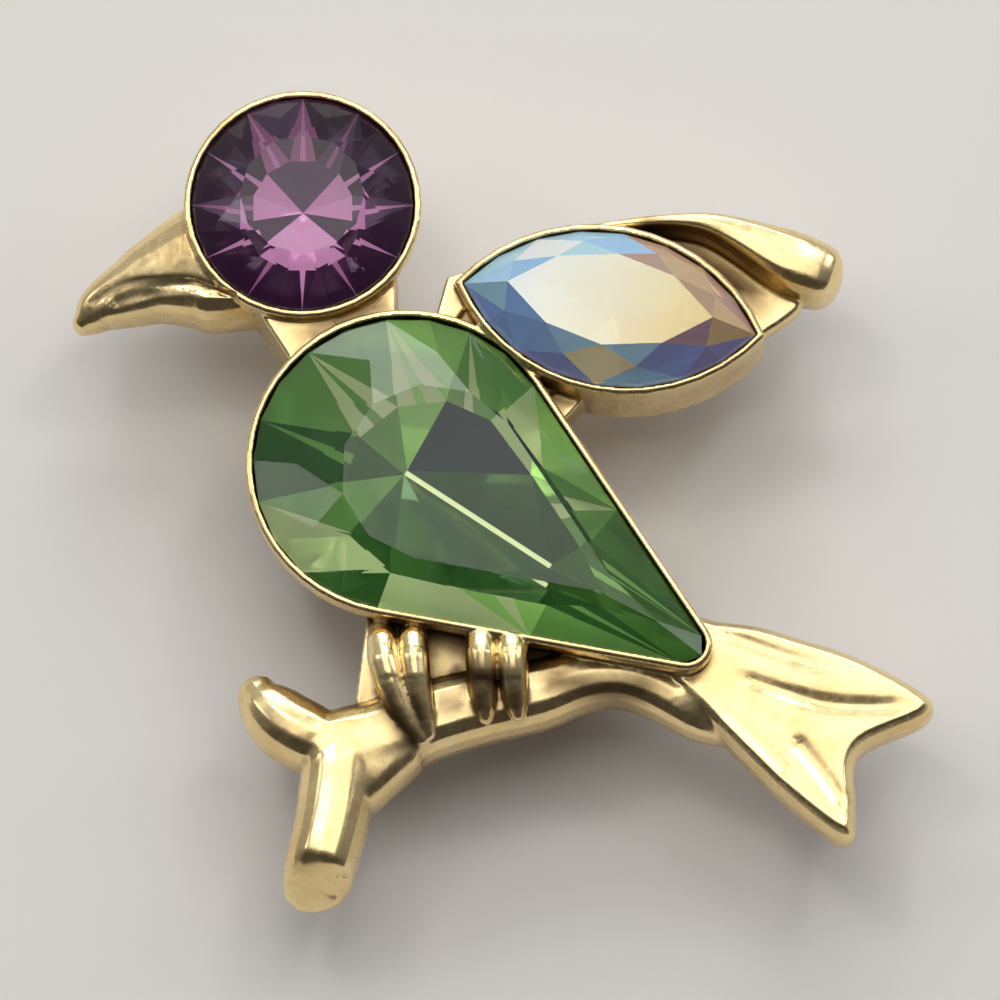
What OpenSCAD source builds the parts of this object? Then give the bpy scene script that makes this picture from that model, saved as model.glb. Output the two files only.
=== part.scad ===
// Cast bird brooch, lying face up. The bird stands on a branch and carries three cut stones.
// X runs to the bird's tail side, Y towards its head, Z out of its face.
// Z = 0 is the surface that the pin finding on the back rests on.

/* [Stones] */
// Diameter of the round stone in the head
head_stone_d = 7.8; // [6.5:0.1:9]
// Length of the pear-shaped stone in the body
body_stone_len = 17.7; // [15:0.1:20]
// Width of the pear-shaped stone at its round end
body_stone_w = 10.6; // [8.6:0.1:11.4]
// Width of the pear-shaped stone at its blunt point
body_tip_w = 1.3; // [0.8:0.1:2.4]
// Length of the pointed oval stone in the wing
wing_stone_len = 10.4; // [8.4:0.1:12]
// Width of the pointed oval stone in the wing
wing_stone_w = 5.6; // [4.4:0.1:6.6]
// Height of a stone above its girdle
crown_h = 1.2; // [0.8:0.05:1.6]
// Depth of a stone below its girdle
pavilion_h = 2.3; // [1.6:0.05:3]
// Height of the narrow band round a stone's widest part
girdle_t = 0.12; // [0.06:0.01:0.2]
// Table size as a share of the stone
table_share = 0.56; // [0.45:0.01:0.65]

/* [Places] */
// X of the centre of the body's round end
body_x = -3.3; // [-4:0.05:-3]
// Y of the centre of the body's round end
body_y = 0.95; // [0.5:0.05:1.5]
// Direction of the body's point, below the X axis
body_turn = 33.9; // [28:0.1:40]
// Direction from the body to the head, above the X axis
neck_turn = 111; // [104:0.5:116]
// Metal between the rims of the head and the body
neck_gap = 0.36; // [0.2:0.05:1]
// Direction from the body to the centre of the wing's lower arc
wing_lift = 49; // [42:0.5:52]
// Downward turn of the wing's long axis
wing_turn = 10.4; // [4:0.1:16]
// Metal between the stones of the wing and the body
wing_bridge = 0.3; // [0.28:0.02:0.8]
// How much higher the wing's stone sits than the other two
wing_step = 0.15; // [0.1:0.01:0.25]

/* [Casting] */
// Width of the metal rim round a stone
rim_w = 0.28; // [0.2:0.01:0.4]
// Height of the rim above a stone's girdle
lip_h = 0.12; // [0.05:0.01:0.2]
// Clearance between a stone and its seat
seat_gap = 0.05; // [0.03:0.01:0.08]
// Clearance under a stone's lowest point
culet_gap = 0.1; // [0.05:0.01:0.2]
// Metal left under a seat
floor_t = 0.4; // [0.3:0.05:0.8]
// How far the head's cup draws in towards the back
head_in = 0.9; // [0.4:0.05:1.2]
// How far the body's cup draws in towards the back
body_in = 0.55; // [0.3:0.05:1]
// How far the wing's cup draws in towards the back
wall_in = 0.02; // [0:0.02:0.3]

/* [Beak] */
// Length of the beak beyond the head's rim
beak_len = 4.55; // [3.5:0.05:6]
// Width of the beak at its root
beak_w = 4.8; // [4:0.1:5.4]
// Height of the beak at its root
beak_h = 2.5; // [1.8:0.05:2.7]
// Turn of the beak below the head, from the X axis
beak_turn = 204.8; // [200:0.2:208]
// Depth of the mouth's line
mouth_depth = 0.3; // [0.15:0.01:0.4]

/* [Wing feather] */
// Reach of the curled feather from the wing's centre
feather_len = 8.0; // [7:0.1:9]
// Distance of the feather's crest from the wing's long axis
feather_rise = 4.3; // [4:0.1:5]
// Widest width of the feather
feather_w = 2.5; // [2:0.1:3]
// Height of the feather
feather_h = 2.5; // [1.8:0.1:2.8]
// Thickness of the plate between the feather and the stone
wing_plate_t = 1.0; // [0.8:0.1:1.6]

/* [Tail] */
// Length of the tail from the body's point
tail_len = 8.4; // [6.5:0.05:10]
// Width of the tail across its two points
tail_w = 5.8; // [4.6:0.05:6.6]
// Thickness of the tail
tail_h = 1.8; // [1.4:0.05:2.2]
// Width of the soft edge round the tail
tail_edge = 0.36; // [0.2:0.02:0.45]
// Depth of the grooves between the tail feathers
groove_depth = 0.22; // [0.15:0.01:0.45]
// Width of the widest groove
groove_w = 0.5; // [0.3:0.01:0.7]

/* [Branch] */
// Thickness of the branch at its fork
branch_d = 2.7; // [2.2:0.05:3.2]
// Height of the branch above the casting's back
branch_h = 2.6; // [2:0.05:2.8]
// Distance of the fork below the body's rim
fork_drop = 4.3; // [3.6:0.05:5]
// Distance of the fork to the left of the body's centre
fork_out = 2.55; // [2:0.05:3]
// Distance of the branch's far end beyond the body's point
branch_end_x = 1.4; // [0.8:0.1:2]
// Distance of the branch's far end below the body's point
branch_end_drop = 2.4; // [2:0.1:2.8]
// Rise of the arch between the fork and the far end
arch_rise = 2.0; // [1.4:0.05:2.4]
// Length of the stub that points down
down_len = 6.0; // [4.6:0.05:7]
// Length of the stub that points up to the left
side_len = 3.4; // [2.8:0.05:4.2]
// Thickness of the web between the body and the branch
web_t = 1.4; // [1:0.1:1.8]

/* [Feet] */
// Width of a toe
toe_w = 1.08; // [0.8:0.02:1.1]
// Height of a toe's crest above the casting's back
toe_h = 3.1; // [3:0.05:3.3]

/* [Pin finding] */
// Height of the finding from the surface to its plate's upper face
pin_h = 3.15; // [2.8:0.05:3.6]
// Clearance between the plate and the casting's back
plate_gap = 0.05; // [0.02:0.01:0.1]
// Length of the finding
pin_len = 12.8; // [11:0.1:13]
// Width of the finding
pin_w = 4.4; // [3.6:0.1:4.6]
// Thickness of the finding's plate
plate_t = 0.6; // [0.4:0.05:0.8]
// Diameter of the hinge barrel and of the catch
barrel_d = 2.2; // [1.8:0.1:2.4]
// Diameter of the stem
stem_d = 0.75; // [0.6:0.05:0.9]
// Clearance between the stem and the catch
catch_gap = 0.25; // [0.15:0.05:0.3]
// Width of the catch's hook
catch_len = 2.2; // [1.6:0.1:3]
// Distance of the finding's end from the body's rim
pin_inset = 0.7; // [0.5:0.1:1.2]
// Shift of the finding from the body's long axis towards the head
pin_side = 0.8; // [0.4:0.1:1]

/* [Hidden] */

// Heights above the surface
back_z = pin_h + plate_gap;
cast_h = pavilion_h + culet_gap + floor_t;
girdle_z = back_z + cast_h;

// Radii of the body stone's two arcs and the distance between their centres
body_r = body_stone_w / 2;
tip_r = body_tip_w / 2;
body_l = body_stone_len - body_r - tip_r;

// The wing stone is the overlap of two discs
wing_a = wing_stone_len / 2;
wing_b = wing_stone_w / 2;
wing_arc = (wing_a * wing_a + wing_b * wing_b) / (2 * wing_b);
wing_drop = wing_arc - wing_b;

// Places of the main parts in the plane of the brooch
body_at = [body_x, body_y];
head_r = head_stone_d / 2;
head_at = body_at + (body_r + head_r + 2 * rim_w + neck_gap) * [cos(neck_turn), sin(neck_turn)];
tail_at = body_at + body_l * [cos(body_turn), -sin(body_turn)];
wing_arc_at = body_at + (body_r + wing_arc + wing_bridge) * [cos(wing_lift), sin(wing_lift)];
wing_at = wing_arc_at - wing_drop * [sin(wing_turn), cos(wing_turn)];
fork_at = body_at - [fork_out, body_r + rim_w + fork_drop];
branch_end_at = tail_at + [branch_end_x, -branch_end_drop];
perch = branch_end_at - fork_at;

// Number of main facets round each stone, and of segments round a cup
facets = 12;
arc_steps = 40;
limb_sides = 16;
limb_steps = 3;
// Squareness of a limb's section: 2 is an ellipse
limb_square = 2.7;
// How much wider a limb's section is towards the back, as a share
limb_flare = 0.04;
// Dome of a limb's end as a share of its half width
end_dome = 0.5;
// Turns of the rings that close a limb's domed end
dome_turns = [28, 55, 78];
// Step from the rims down to the metal between the cups, and the taper of that metal
neck_step = 0.4;
neck_taper = 0.92;
// Radius of the web's corners
web_r = 0.5;
// Share of a stone's width that its pocket keeps at the floor
floor_share = 0.4;
// Heights of the points between a stone's main facets, and their distance from its middle
crown_break = 0.56;
pavilion_break = 0.42;
pavilion_reach = 0.6;
// Middle of the body stone's table, from the round end towards the point
body_table_at = 0.16;
// How far a claw reaches over the branch, as a share of the branch's thickness
claw_reach = 0.42;
// Overrun of a cut past the surface it opens
overrun = 1;
// Grid of the points of the casting's pieces
grid = 0.002;
// How far the pieces of the casting reach below its flat back before the back is cut
sink = 0.5;
// Half the side of the block that holds the casting above its back
block_half = 40;

// Cup layers from the back to the lip: share of the height and of the draw-in
CUP = [
    // height, draw-in
    [0.0, 1.0],
    [0.4, 0.45],
    [0.8, 0.0]
];
// Rim that stays at the lip, as a share of its width
lip_share = 0.6;

// Beak sections: along and across from the head's rim, width, height
BEAK = [
    // along, across, width, top, bottom
    [-0.26, 0.05, 1.12, 1.14, 0.00],
    [-0.05, 0.04, 0.98, 1.13, 0.00],
    [0.10, 0.005, 0.83, 1.05, 0.00],
    [0.34, -0.03, 0.62, 0.93, 0.00],
    [0.52, -0.03, 0.50, 0.84, 0.00],
    [0.68, -0.03, 0.41, 0.76, 0.04],
    [0.81, -0.02, 0.33, 0.68, 0.08],
    [0.92, 0.015, 0.24, 0.58, 0.13],
    [0.99, 0.035, 0.14, 0.48, 0.20]
];

// Line of the mouth, in the beak's own frame
MOUTH = [
    // along, across, width
    [0.89, -0.02, 0.4],
    [0.62, -0.04, 0.7],
    [0.39, 0.04, 0.8],
    [0.17, 0.16, 0.8],
    [0.0, 0.31, 0.7],
    [-0.14, 0.43, 0.5]
];

// Blocks of the neck. Each joins a spot in the head's cup to a spot in the body's cup. A spot has a
// direction, measured from the line between the two centres towards the beak, and a distance and a size
// in shares of the stone's radius. The last value is the step from the rims down to the block, in steps.
NECK = [
    // head's direction, distance, size, body's direction, distance, size, step
    [-20, 0.75, 0.37, 2, 0.84, 0.28, 1.2],
    [34, 0.76, 0.34, 16, 0.86, 0.20, 1.0]
];

// Blocks between the wing's cup and the body's cup: a spot on the wing's long axis and a spot on the
// body's round end, whose direction is measured from the wing's
SHOULDER = [
    // along the wing, size, direction from the body's centre past the wing's, size, step
    [-1.01, 0.26, 27, 0.07, 1.0],
    [-0.82, 0.24, 22, 0.10, 1.4],
    [-0.50, 0.30, 3, 0.20, 2.0],
    [-0.10, 0.50, -11, 0.20, 2.4],
    [0.08, 0.40, -24, 0.18, 3.0]
];

// Curled feather of the wing, in the wing's own frame
FEATHER = [
    // along, across, width, top
    [-0.20, 0.68, 0.12, 0.95],
    [0.02, 0.80, 0.20, 1.00],
    [0.20, 0.89, 0.26, 1.00],
    [0.36, 0.92, 0.40, 1.00],
    [0.52, 0.87, 0.62, 1.00],
    [0.66, 0.80, 0.82, 1.00],
    [0.78, 0.75, 0.90, 0.98],
    [0.88, 0.72, 0.85, 0.92]
];

// Outline of the plate that carries the wing's stone and feather
WING_PLATE = [
    // along, across
    [-0.30, -0.20],
    [0.20, -0.30],
    [0.60, -0.08],
    [0.675, 0.14],
    [0.76, 0.30],
    [0.81, 0.50],
    [0.60, 0.80],
    [0.30, 0.92],
    [-0.05, 0.80],
    [-0.36, 0.56]
];

// Outline of the tail, in the body's direction
TAIL = [
    // along, across
    [-0.10, -0.16],
    [0.04, -0.22],
    [0.18, -0.255],
    [0.42, -0.335],
    [0.66, -0.405],
    [0.87, -0.44],
    [0.97, -0.435],
    [1.01, -0.385],
    [0.985, -0.295],
    [0.92, -0.155],
    [0.85, -0.02],
    [0.835, 0.11],
    [0.895, 0.27],
    [0.97, 0.44],
    [0.985, 0.54],
    [0.945, 0.60],
    [0.80, 0.605],
    [0.57, 0.565],
    [0.35, 0.475],
    [0.18, 0.40],
    [0.02, 0.285],
    [-0.10, 0.20]
];

// Grooves of the tail: three points each, in shares of the tail, and a width
GROOVES = [
    // start, middle, end, width
    [[0.03, 0.19], [0.22, 0.28], [0.46, 0.385], 0.6],
    [[0.21, 0.05], [0.48, 0.14], [0.93, 0.50], 1.0],
    [[0.60, -0.07], [0.77, -0.16], [0.95, -0.33], 0.9],
    [[0.30, -0.14], [0.41, -0.20], [0.56, -0.27], 0.6]
];

// Branch sections from the fork to the far end
BRANCH = [
    // along, rise, width, height
    [-0.04, -0.04, 0.90, 0.96],
    [0.04, 0.02, 1.03, 0.98],
    [0.12, 0.11, 1.04, 0.93],
    [0.25, 0.42, 0.98, 0.88],
    [0.39, 0.62, 0.93, 0.86],
    [0.52, 0.74, 0.87, 0.84],
    [0.63, 0.96, 0.80, 0.80],
    [0.73, 1.00, 0.77, 0.74],
    [0.83, 0.76, 0.78, 0.68],
    [0.93, 0.30, 0.70, 0.60],
    [ 1.00, 0.02, 0.52, 0.50]
];

// Stub that points down, measured from the fork
DOWN = [
    // side, down, width, height
    [0.04, -0.10, 0.80, 0.92],
    [0.045, 0.08, 0.98, 1.00],
    [0.03, 0.26, 1.00, 1.00],
    [0.0, 0.44, 0.97, 1.00],
    [-0.042, 0.62, 0.94, 1.00],
    [-0.062, 0.69, 0.93, 0.98],
    [-0.074, 0.735, 0.92, 0.88],
    [-0.08, 0.79, 0.90, 0.66],
    [-0.078, 0.84, 0.84, 0.44],
    [-0.074, 0.87, 0.68, 0.32]
];

// Soft corner between the branch and the stub that points down, measured from the fork
KNEE = [
    // side, down, width, height
    [0.06, 0.40, 0.50, 0.80],
    [0.17, 0.19, 0.84, 0.88],
    [0.42, -0.02, 0.74, 0.85]
];

// Stub that points up to the left, measured from the fork
SIDE = [
    // left, up, width, height
    [-0.10, -0.03, 0.76, 0.92],
    [0.20, 0.10, 0.90, 0.98],
    [0.44, 0.24, 0.90, 0.95],
    [0.60, 0.38, 0.83, 0.90],
    [0.71, 0.505, 0.69, 0.84],
    [0.76, 0.585, 0.56, 0.76]
];

// Web between the body's lower edge and the branch: places along the perch and along the body
WEB = [
    // along the perch, rise, along the body
    [0.08, 0.20, 0.147],
    [0.20, 0.35, 0.25],
    [0.42, 0.60, 0.45],
    [0.62, 0.90, 0.80],
    [0.74, 0.90, 1.00]
];

// Toes: place along the perch, slant to the right in toe widths, and how far each reaches down
TOES = [
    // along, slant, reach
    [0.125, 1.30, 0.62],
    [0.205, 0.50, 0.50],
    [0.378, 0.15, 0.10],
    [0.456, 0.20, 0.10]
];

// Line of a toe from the body's edge to its claw
TOE = [
    // slant, fall, height, size
    [0.00, 0.04, 0.62, 0.80],
    [0.02, 0.20, 0.94, 1.00],
    [0.08, 0.36, 1.00, 1.08],
    [0.22, 0.54, 0.98, 1.02],
    [0.46, 0.72, 0.92, 0.90],
    [0.76, 0.89, 0.85, 0.72],
    [1.00, 1.00, 0.80, 0.46]
];

// A direction in the plane
function heading(angle) = [cos(angle), sin(angle)];

// Points of a circle
function circle_points(r, steps) = [for (k = [0:steps - 1]) r * heading(360 * k / steps)];

// Points of an arc from angle a0 to angle a1
function arc_points(r, a0, a1, steps) =
    [for (k = [0:steps]) r * heading(a0 + (a1 - a0) * k / steps)];

// Pear outline with its point along +X, grown by a margin
function pear_points(grow, tip_steps = 8, round_steps = 30) =
    let (contact = acos((body_r - tip_r) / body_l))
    concat(
        [for (p = arc_points(tip_r + grow, -contact, contact, tip_steps)) p + [body_l, 0]],
        arc_points(body_r + grow, contact, 360 - contact, round_steps)
    );

// Pointed oval outline with its length along X, grown by a margin
function navette_points(grow, steps = 14) =
    let (
        r = wing_arc + grow,
        half = acos(wing_drop / r),
        upper = [
            for (k = [0:steps - 1])
            let (a = half * (1 - 2 * k / steps))
            [r * sin(a), r * cos(a) - wing_drop]
        ]
    )
    concat(upper, -upper);

// A ring of points at one height
function lift(points, z) = [for (p = points) [p.x, p.y, z]];

// Closed solid through rings that all have the same number of points, which are moved to the nearest place
// on a fine grid
module ring_solid(rings) {
    n = len(rings[0]);
    last = len(rings) - 1;
    sides = [
        for (i = [0:last - 1]) for (k = [0:n - 1])
        let (a = i * n + k, b = i * n + (k + 1) % n)
        each [[a, b + n, b], [a, a + n, b + n]]
    ];
    polyhedron(
        points = [for (ring = rings) for (p = ring) [for (c = p) round(c / grid) * grid]],
        faces = concat(sides, [[for (k = [0:n - 1]) k], [for (k = [n - 1:-1:0]) last * n + k]])
    );
}

// Smooth curve through table rows
function between(a, b, c, d, t) =
    0.5 * (2 * b + (c - a) * t + (2 * a - 5 * b + 4 * c - d) * t * t + (3 * b - a - 3 * c + d) * t * t * t);
function smooth_rows(rows, steps) =
    let (last = len(rows) - 1)
    concat(
        [
            for (i = [0:last - 1]) for (j = [0:steps - 1])
            between(rows[max(i - 1, 0)], rows[i], rows[i + 1], rows[min(i + 2, last)], j / steps)
        ],
        [rows[last]]
    );

// Smooth closed outline through points
function smooth_loop(points, steps) =
    let (n = len(points))
    [
        for (i = [0:n - 1]) for (j = [0:steps - 1])
        between(points[(i + n - 1) % n], points[i], points[(i + 1) % n], points[(i + 2) % n], j / steps)
    ];

// Closed counter-clockwise outline moved inwards
function inset_loop(points, inset) =
    let (n = len(points))
    [
        for (i = [0:n - 1])
        let (
            before = points[(i + n - 1) % n],
            after = points[(i + 1) % n],
            along = (after - before) / norm(after - before)
        )
        points[i] + inset * [-along.y, along.x]
    ];

// One section of a limb: a rounded block that stands across the limb's direction, wider towards the back.
// The power of the cosine and the sine squares the ellipse.
function limb_ring(row, along, sides, square, flare) =
    [
        for (k = [0:sides - 1])
        let (
            across = cos(360 * k / sides),
            up = sin(360 * k / sides),
            w = row[2] / 2 * sign(across) * pow(abs(across), 2 / square) * (1 - flare * up),
            h = (row[4] - row[3]) / 2 * sign(up) * pow(abs(up), 2 / square)
        )
        [row[0] - along.y * w, row[1] + along.x * w, (row[3] + row[4]) / 2 + h]
    ];

// Direction of a limb at one of its rows
function row_heading(rows, i) =
    let (
        before = rows[max(i - 1, 0)],
        after = rows[min(i + 1, len(rows) - 1)],
        step = [after[0] - before[0], after[1] - before[1]]
    )
    step / norm(step);

// Row of a domed end, moved out along the limb and drawn in by the same angle
function dome_row(row, along, dome, angle) =
    let (
        out = dome * row[2] / 2 * sin(angle),
        middle = (row[3] + row[4]) / 2,
        high = (row[4] - row[3]) / 2 * cos(angle)
    )
    [row[0] + along.x * out, row[1] + along.y * out, row[2] * cos(angle), middle - high, middle + high];

// A limb through rows of x, y, width, bottom and top, with domed ends
module limb(rows, dome = end_dome, sides = limb_sides, square = limb_square, flare = limb_flare) {
    last = len(rows) - 1;
    first_way = row_heading(rows, 0);
    last_way = row_heading(rows, last);
    turns = len(dome_turns) - 1;
    rings = concat(
        [
            for (k = [turns:-1:0])
            limb_ring(dome_row(rows[0], -first_way, dome, dome_turns[k]), first_way, sides, square, flare)
        ],
        [for (i = [0:last]) limb_ring(rows[i], row_heading(rows, i), sides, square, flare)],
        [
            for (k = [0:turns])
            limb_ring(dome_row(rows[last], last_way, dome, dome_turns[k]), last_way, sides, square, flare)
        ]
    );
    ring_solid(rings);
}

module at_head() {
    translate([head_at.x, head_at.y, 0])
        children();
}

module at_body() {
    translate([body_at.x, body_at.y, 0])
        rotate(-body_turn)
            children();
}

module at_wing() {
    translate([wing_at.x, wing_at.y, 0])
        rotate(-wing_turn)
            children();
}

module at_tail() {
    translate([tail_at.x, tail_at.y, 0])
        rotate(-body_turn)
            children();
}

// Layers of a cup from its back to its lip: how far each outline stands from the stone's, and its height
function cup_layers(draw_in, step = 0) =
    concat(
        [[rim_w - draw_in, -sink]],
        [for (c = CUP) [rim_w - c[1] * draw_in, c[0] * (cast_h + step)]],
        [[rim_w, cast_h + step + lip_h * 0.4], [rim_w * lip_share, cast_h + step + lip_h]]
    );

module head_cup() {
    at_head()
        ring_solid([for (c = cup_layers(head_in)) lift(circle_points(head_r + c[0], arc_steps), c[1])]);
}

module body_cup() {
    at_body()
        ring_solid([for (c = cup_layers(body_in)) lift(pear_points(c[0]), c[1])]);
}

module wing_cup() {
    at_wing()
        ring_solid([for (c = cup_layers(wall_in, wing_step)) lift(navette_points(c[0]), c[1])]);
}

// Low plate that joins the wing's cup and the curled feather
module wing_plate() {
    outline = smooth_loop([for (p = WING_PLATE) [p[0] * feather_len, p[1] * feather_rise]], 3);
    at_wing()
        ring_solid([
            lift(inset_loop(outline, wing_plate_t * 0.2), -sink),
            lift(outline, wing_plate_t * 0.3),
            lift(outline, wing_plate_t * 0.8),
            lift(inset_loop(outline, wing_plate_t * 0.15), wing_plate_t)
        ]);
}

module feather() {
    rows = [
        for (r = FEATHER)
        [r[0] * feather_len, r[1] * feather_rise, r[2] * feather_w, -sink, r[3] * feather_h]
    ];
    at_wing()
        limb(smooth_rows(rows, limb_steps), 0.7, limb_sides, 3.4);
}

// A place in the beak's own frame, whose X axis leaves the head's rim
function beak_spot(along, across) = [head_r + rim_w + along * beak_len, across * beak_w];

module beak() {
    rows = [
        for (r = BEAK)
        let (p = beak_spot(r[0], r[1]))
        [p.x, p.y, r[2] * beak_w, r[4] * beak_h - sink, r[3] * beak_h]
    ];
    at_head()
        rotate(beak_turn)
            limb(smooth_rows(rows, limb_steps), 0.8, 20, 3);
}

// Height of the beak's upper face at a place along it
function beak_top(along) = beak_h * lookup(along, [for (r = BEAK) [r[0], r[3]]]);

// Groove of the mouth, cut into the beak's upper face
module mouth() {
    rows = [
        for (m = MOUTH)
        let (p = beak_spot(m[0], m[1]), top = beak_top(m[0]))
        [p.x, p.y, m[2] * groove_w, top - mouth_depth, top + mouth_depth]
    ];
    at_head()
        rotate(beak_turn)
            limb(smooth_rows(rows, limb_steps), end_dome, 8, 1.8, 0);
}

// Metal that fills the angle between two round cups
module bridge_block(p, r, q, s, step) {
    high = cast_h - step * neck_step + sink;
    hull() {
        translate([p.x, p.y, -sink])
            cylinder(r1 = r, r2 = r * neck_taper, h = high);
        translate([q.x, q.y, -sink])
            cylinder(r1 = s, r2 = s * neck_taper, h = high);
    }
}

module neck() {
    for (b = NECK)
        bridge_block(
            head_at + b[1] * head_r * heading(neck_turn + 180 - b[0]),
            b[2] * head_r,
            body_at + b[4] * body_r * heading(neck_turn + b[3]),
            b[5] * body_r,
            b[6]
        );
    for (b = SHOULDER)
        bridge_block(
            wing_at + b[0] * wing_a * heading(-wing_turn),
            b[1] * wing_b,
            body_at + body_r * heading(wing_lift + b[2]),
            b[3] * body_r,
            b[4]
        );
}

module tail() {
    outline = smooth_loop([for (p = TAIL) [p[0] * tail_len, p[1] * tail_w]], 3);
    at_tail()
        ring_solid([
            lift(inset_loop(outline, tail_edge * 0.4), -sink),
            lift(outline, tail_h * 0.2),
            lift(outline, tail_h * 0.62),
            lift(inset_loop(outline, tail_edge * 0.4), tail_h * 0.86),
            lift(inset_loop(outline, tail_edge), tail_h)
        ]);
}

// Grooves that part the tail feathers, deepest in the middle of their length
module tail_grooves() {
    at_tail()
        for (g = GROOVES) {
            rows = smooth_rows(
                [for (i = [0:2]) [
                    g[i][0] * tail_len,
                    g[i][1] * tail_w,
                    g[3] * groove_w * (i == 1 ? 1 : 0.3),
                    tail_h - groove_depth * (i == 1 ? 1 : 0.3),
                    tail_h + groove_depth
                ]],
                4
            );
            limb(rows, end_dome, 8, 1.8, 0);
        }
}

// A point of the perch line between the fork and the far end, raised by a share of the arch
function perch_at(along, rise) = fork_at + along * perch + [0, rise * arch_rise];

module branch() {
    main = [
        for (r = BRANCH) let (p = perch_at(r[0], r[1]))
        [p.x, p.y, r[2] * branch_d, -sink, r[3] * branch_h]
    ];
    down = [
        for (r = DOWN)
        [fork_at.x + r[0] * down_len, fork_at.y - r[1] * down_len, r[2] * branch_d, -sink, r[3] * branch_h]
    ];
    out = [
        for (r = SIDE)
        [fork_at.x - r[0] * side_len, fork_at.y + r[1] * side_len, r[2] * branch_d, -sink, r[3] * branch_h]
    ];
    corner = [
        for (r = KNEE)
        [fork_at.x + r[0] * down_len, fork_at.y - r[1] * down_len, r[2] * branch_d, -sink, r[3] * branch_h]
    ];
    limb(smooth_rows(main, limb_steps));
    limb(smooth_rows(down, limb_steps), 0.4, limb_sides, 2.4);
    limb(smooth_rows(out, limb_steps), 0.9, limb_sides, 2.3);
    limb(smooth_rows(corner, limb_steps));
}

// A place just inside the body's lower edge, at a share of the way to its point
function edge_at(share) =
    body_at + share * (tail_at - body_at)
    + 0.85 * (body_r + share * (tip_r - body_r)) * heading(-90 - body_turn);

// Web of metal between the body's lower edge and the branch
module web() {
    for (i = [0:len(WEB) - 2])
        hull()
            for (w = [WEB[i], WEB[i + 1]])
                for (p = [perch_at(w[0], w[1]), edge_at(w[2])])
                    translate([p.x, p.y, -sink])
                        cylinder(r = web_r, h = web_t + sink);
}

// One toe: it leaves the body's lower edge, crosses the branch and turns down behind its claw
module toe(row) {
    low = body_at.y - body_r - rim_w;
    bar = perch_at(row[0], 0.35);
    r = toe_w / 2;
    drop = low - bar.y + row[2] * branch_d * claw_reach;
    for (i = [0:len(TOE) - 2])
        hull()
            for (t = [TOE[i], TOE[i + 1]])
                translate([bar.x + t[0] * row[1] * toe_w, low - t[1] * drop, t[2] * (toe_h - r)])
                    sphere(r = r * t[3], $fn = 16);
}

module feet() {
    for (row = TOES)
        toe(row);
}

// Pocket for a stone: its outline at the girdle, drawn in towards a flat floor
module pocket(outline, floor_outline) {
    translate([0, 0, cast_h])
        ring_solid([
            lift(floor_outline, -pavilion_h - culet_gap),
            lift(outline, -girdle_t),
            lift(outline, lip_h + overrun)
        ]);
}

module seats() {
    at_head()
        pocket(
            circle_points(head_r + seat_gap, arc_steps),
            circle_points(head_r * floor_share, arc_steps)
        );
    at_body()
        pocket(pear_points(seat_gap), pear_points(-tip_r * 0.9));
    at_wing()
        translate([0, 0, wing_step])
            pocket(
                navette_points(seat_gap),
                [for (p = navette_points(0)) p * floor_share]
            );
}

module bird_frame() {
    color("#c8b27c")
        translate([0, 0, back_z])
            difference() {
                intersection() {
                    union() {
                        head_cup();
                        body_cup();
                        wing_cup();
                        wing_plate();
                        feather();
                        beak();
                        neck();
                        tail();
                        branch();
                        web();
                        feet();
                    }
                    // Everything above the flat back
                    translate([-block_half, -block_half, 0])
                        cube(2 * block_half);
                }
                seats();
                tail_grooves();
                mouth();
            }
}

// Cut stone from three outlines of the same number of points: the girdle has two points a facet,
// the table and the culet's ring have one. Crown and pavilion facets meet in pointed kites.
module cut_stone(girdle, table, crown_mid, pavilion_mid, culet) {
    n = len(table);
    points = concat(
        lift(table, crown_h),
        lift(crown_mid, crown_h * crown_break),
        lift(girdle, 0),
        lift(girdle, -girdle_t),
        lift(pavilion_mid, -pavilion_h * pavilion_break),
        [[culet.x, culet.y, -pavilion_h]]
    );
    mid = n;
    top = 2 * n;
    low = 4 * n;
    deep = 6 * n;
    tip = 7 * n;
    faces = [
        [for (k = [0:n - 1]) n - 1 - k],
        for (k = [0:n - 1])
        let (
            k1 = (k + 1) % n,
            km = (k + n - 1) % n,
            g = 2 * k,
            g1 = (2 * k + 1) % (2 * n),
            g2 = (2 * k + 2) % (2 * n)
        )
        each [
            [k, k1, mid + k],
            [k, mid + k, top + g],
            [k, top + g, mid + km],
            [mid + k, top + g1, top + g],
            [mid + k, top + g2, top + g1],
            [top + g, top + g1, low + g1],
            [top + g, low + g1, low + g],
            [top + g1, top + g2, low + g2],
            [top + g1, low + g2, low + g1],
            [deep + k, low + g, low + g1],
            [deep + k, low + g1, low + g2],
            [tip, low + g, deep + k],
            [tip, deep + km, low + g]
        ]
    ];
    polyhedron(points = points, faces = faces);
}

function every_other(points, start) = [for (i = [start:2:len(points) - 1]) points[i]];
function shrink(points, centre, share) = [for (p = points) centre + share * (p - centre)];

// Stone whose table, mid points and culet follow from its girdle and its middle
module stone(girdle, centre, step = 0) {
    translate([0, 0, girdle_z + step])
        cut_stone(
            girdle,
            shrink(every_other(girdle, 0), centre, table_share),
            shrink(every_other(girdle, 1), centre, (1 + table_share) / 2),
            shrink(every_other(girdle, 1), centre, pavilion_reach),
            centre
        );
}

module head_stone() {
    color("#4b1c4a")
        at_head()
            stone(circle_points(head_r, 2 * facets), [0, 0]);
}

// Pear outline with two points for each facet, blunt at the point
function pear_girdle() =
    let (
        contact = acos((body_r - tip_r) / body_l),
        tip = arc_points(tip_r, -contact, contact, 2),
        side = [
            for (t = [0.25, 0.5, 0.75])
            (1 - t) * (tip_r * heading(contact) + [body_l, 0]) + t * body_r * heading(contact)
        ]
    )
    concat(
        [for (p = tip) p + [body_l, 0]],
        side,
        arc_points(body_r, contact, 360 - contact, 14),
        [for (k = [2:-1:0]) [side[k].x, -side[k].y]]
    );

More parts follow.
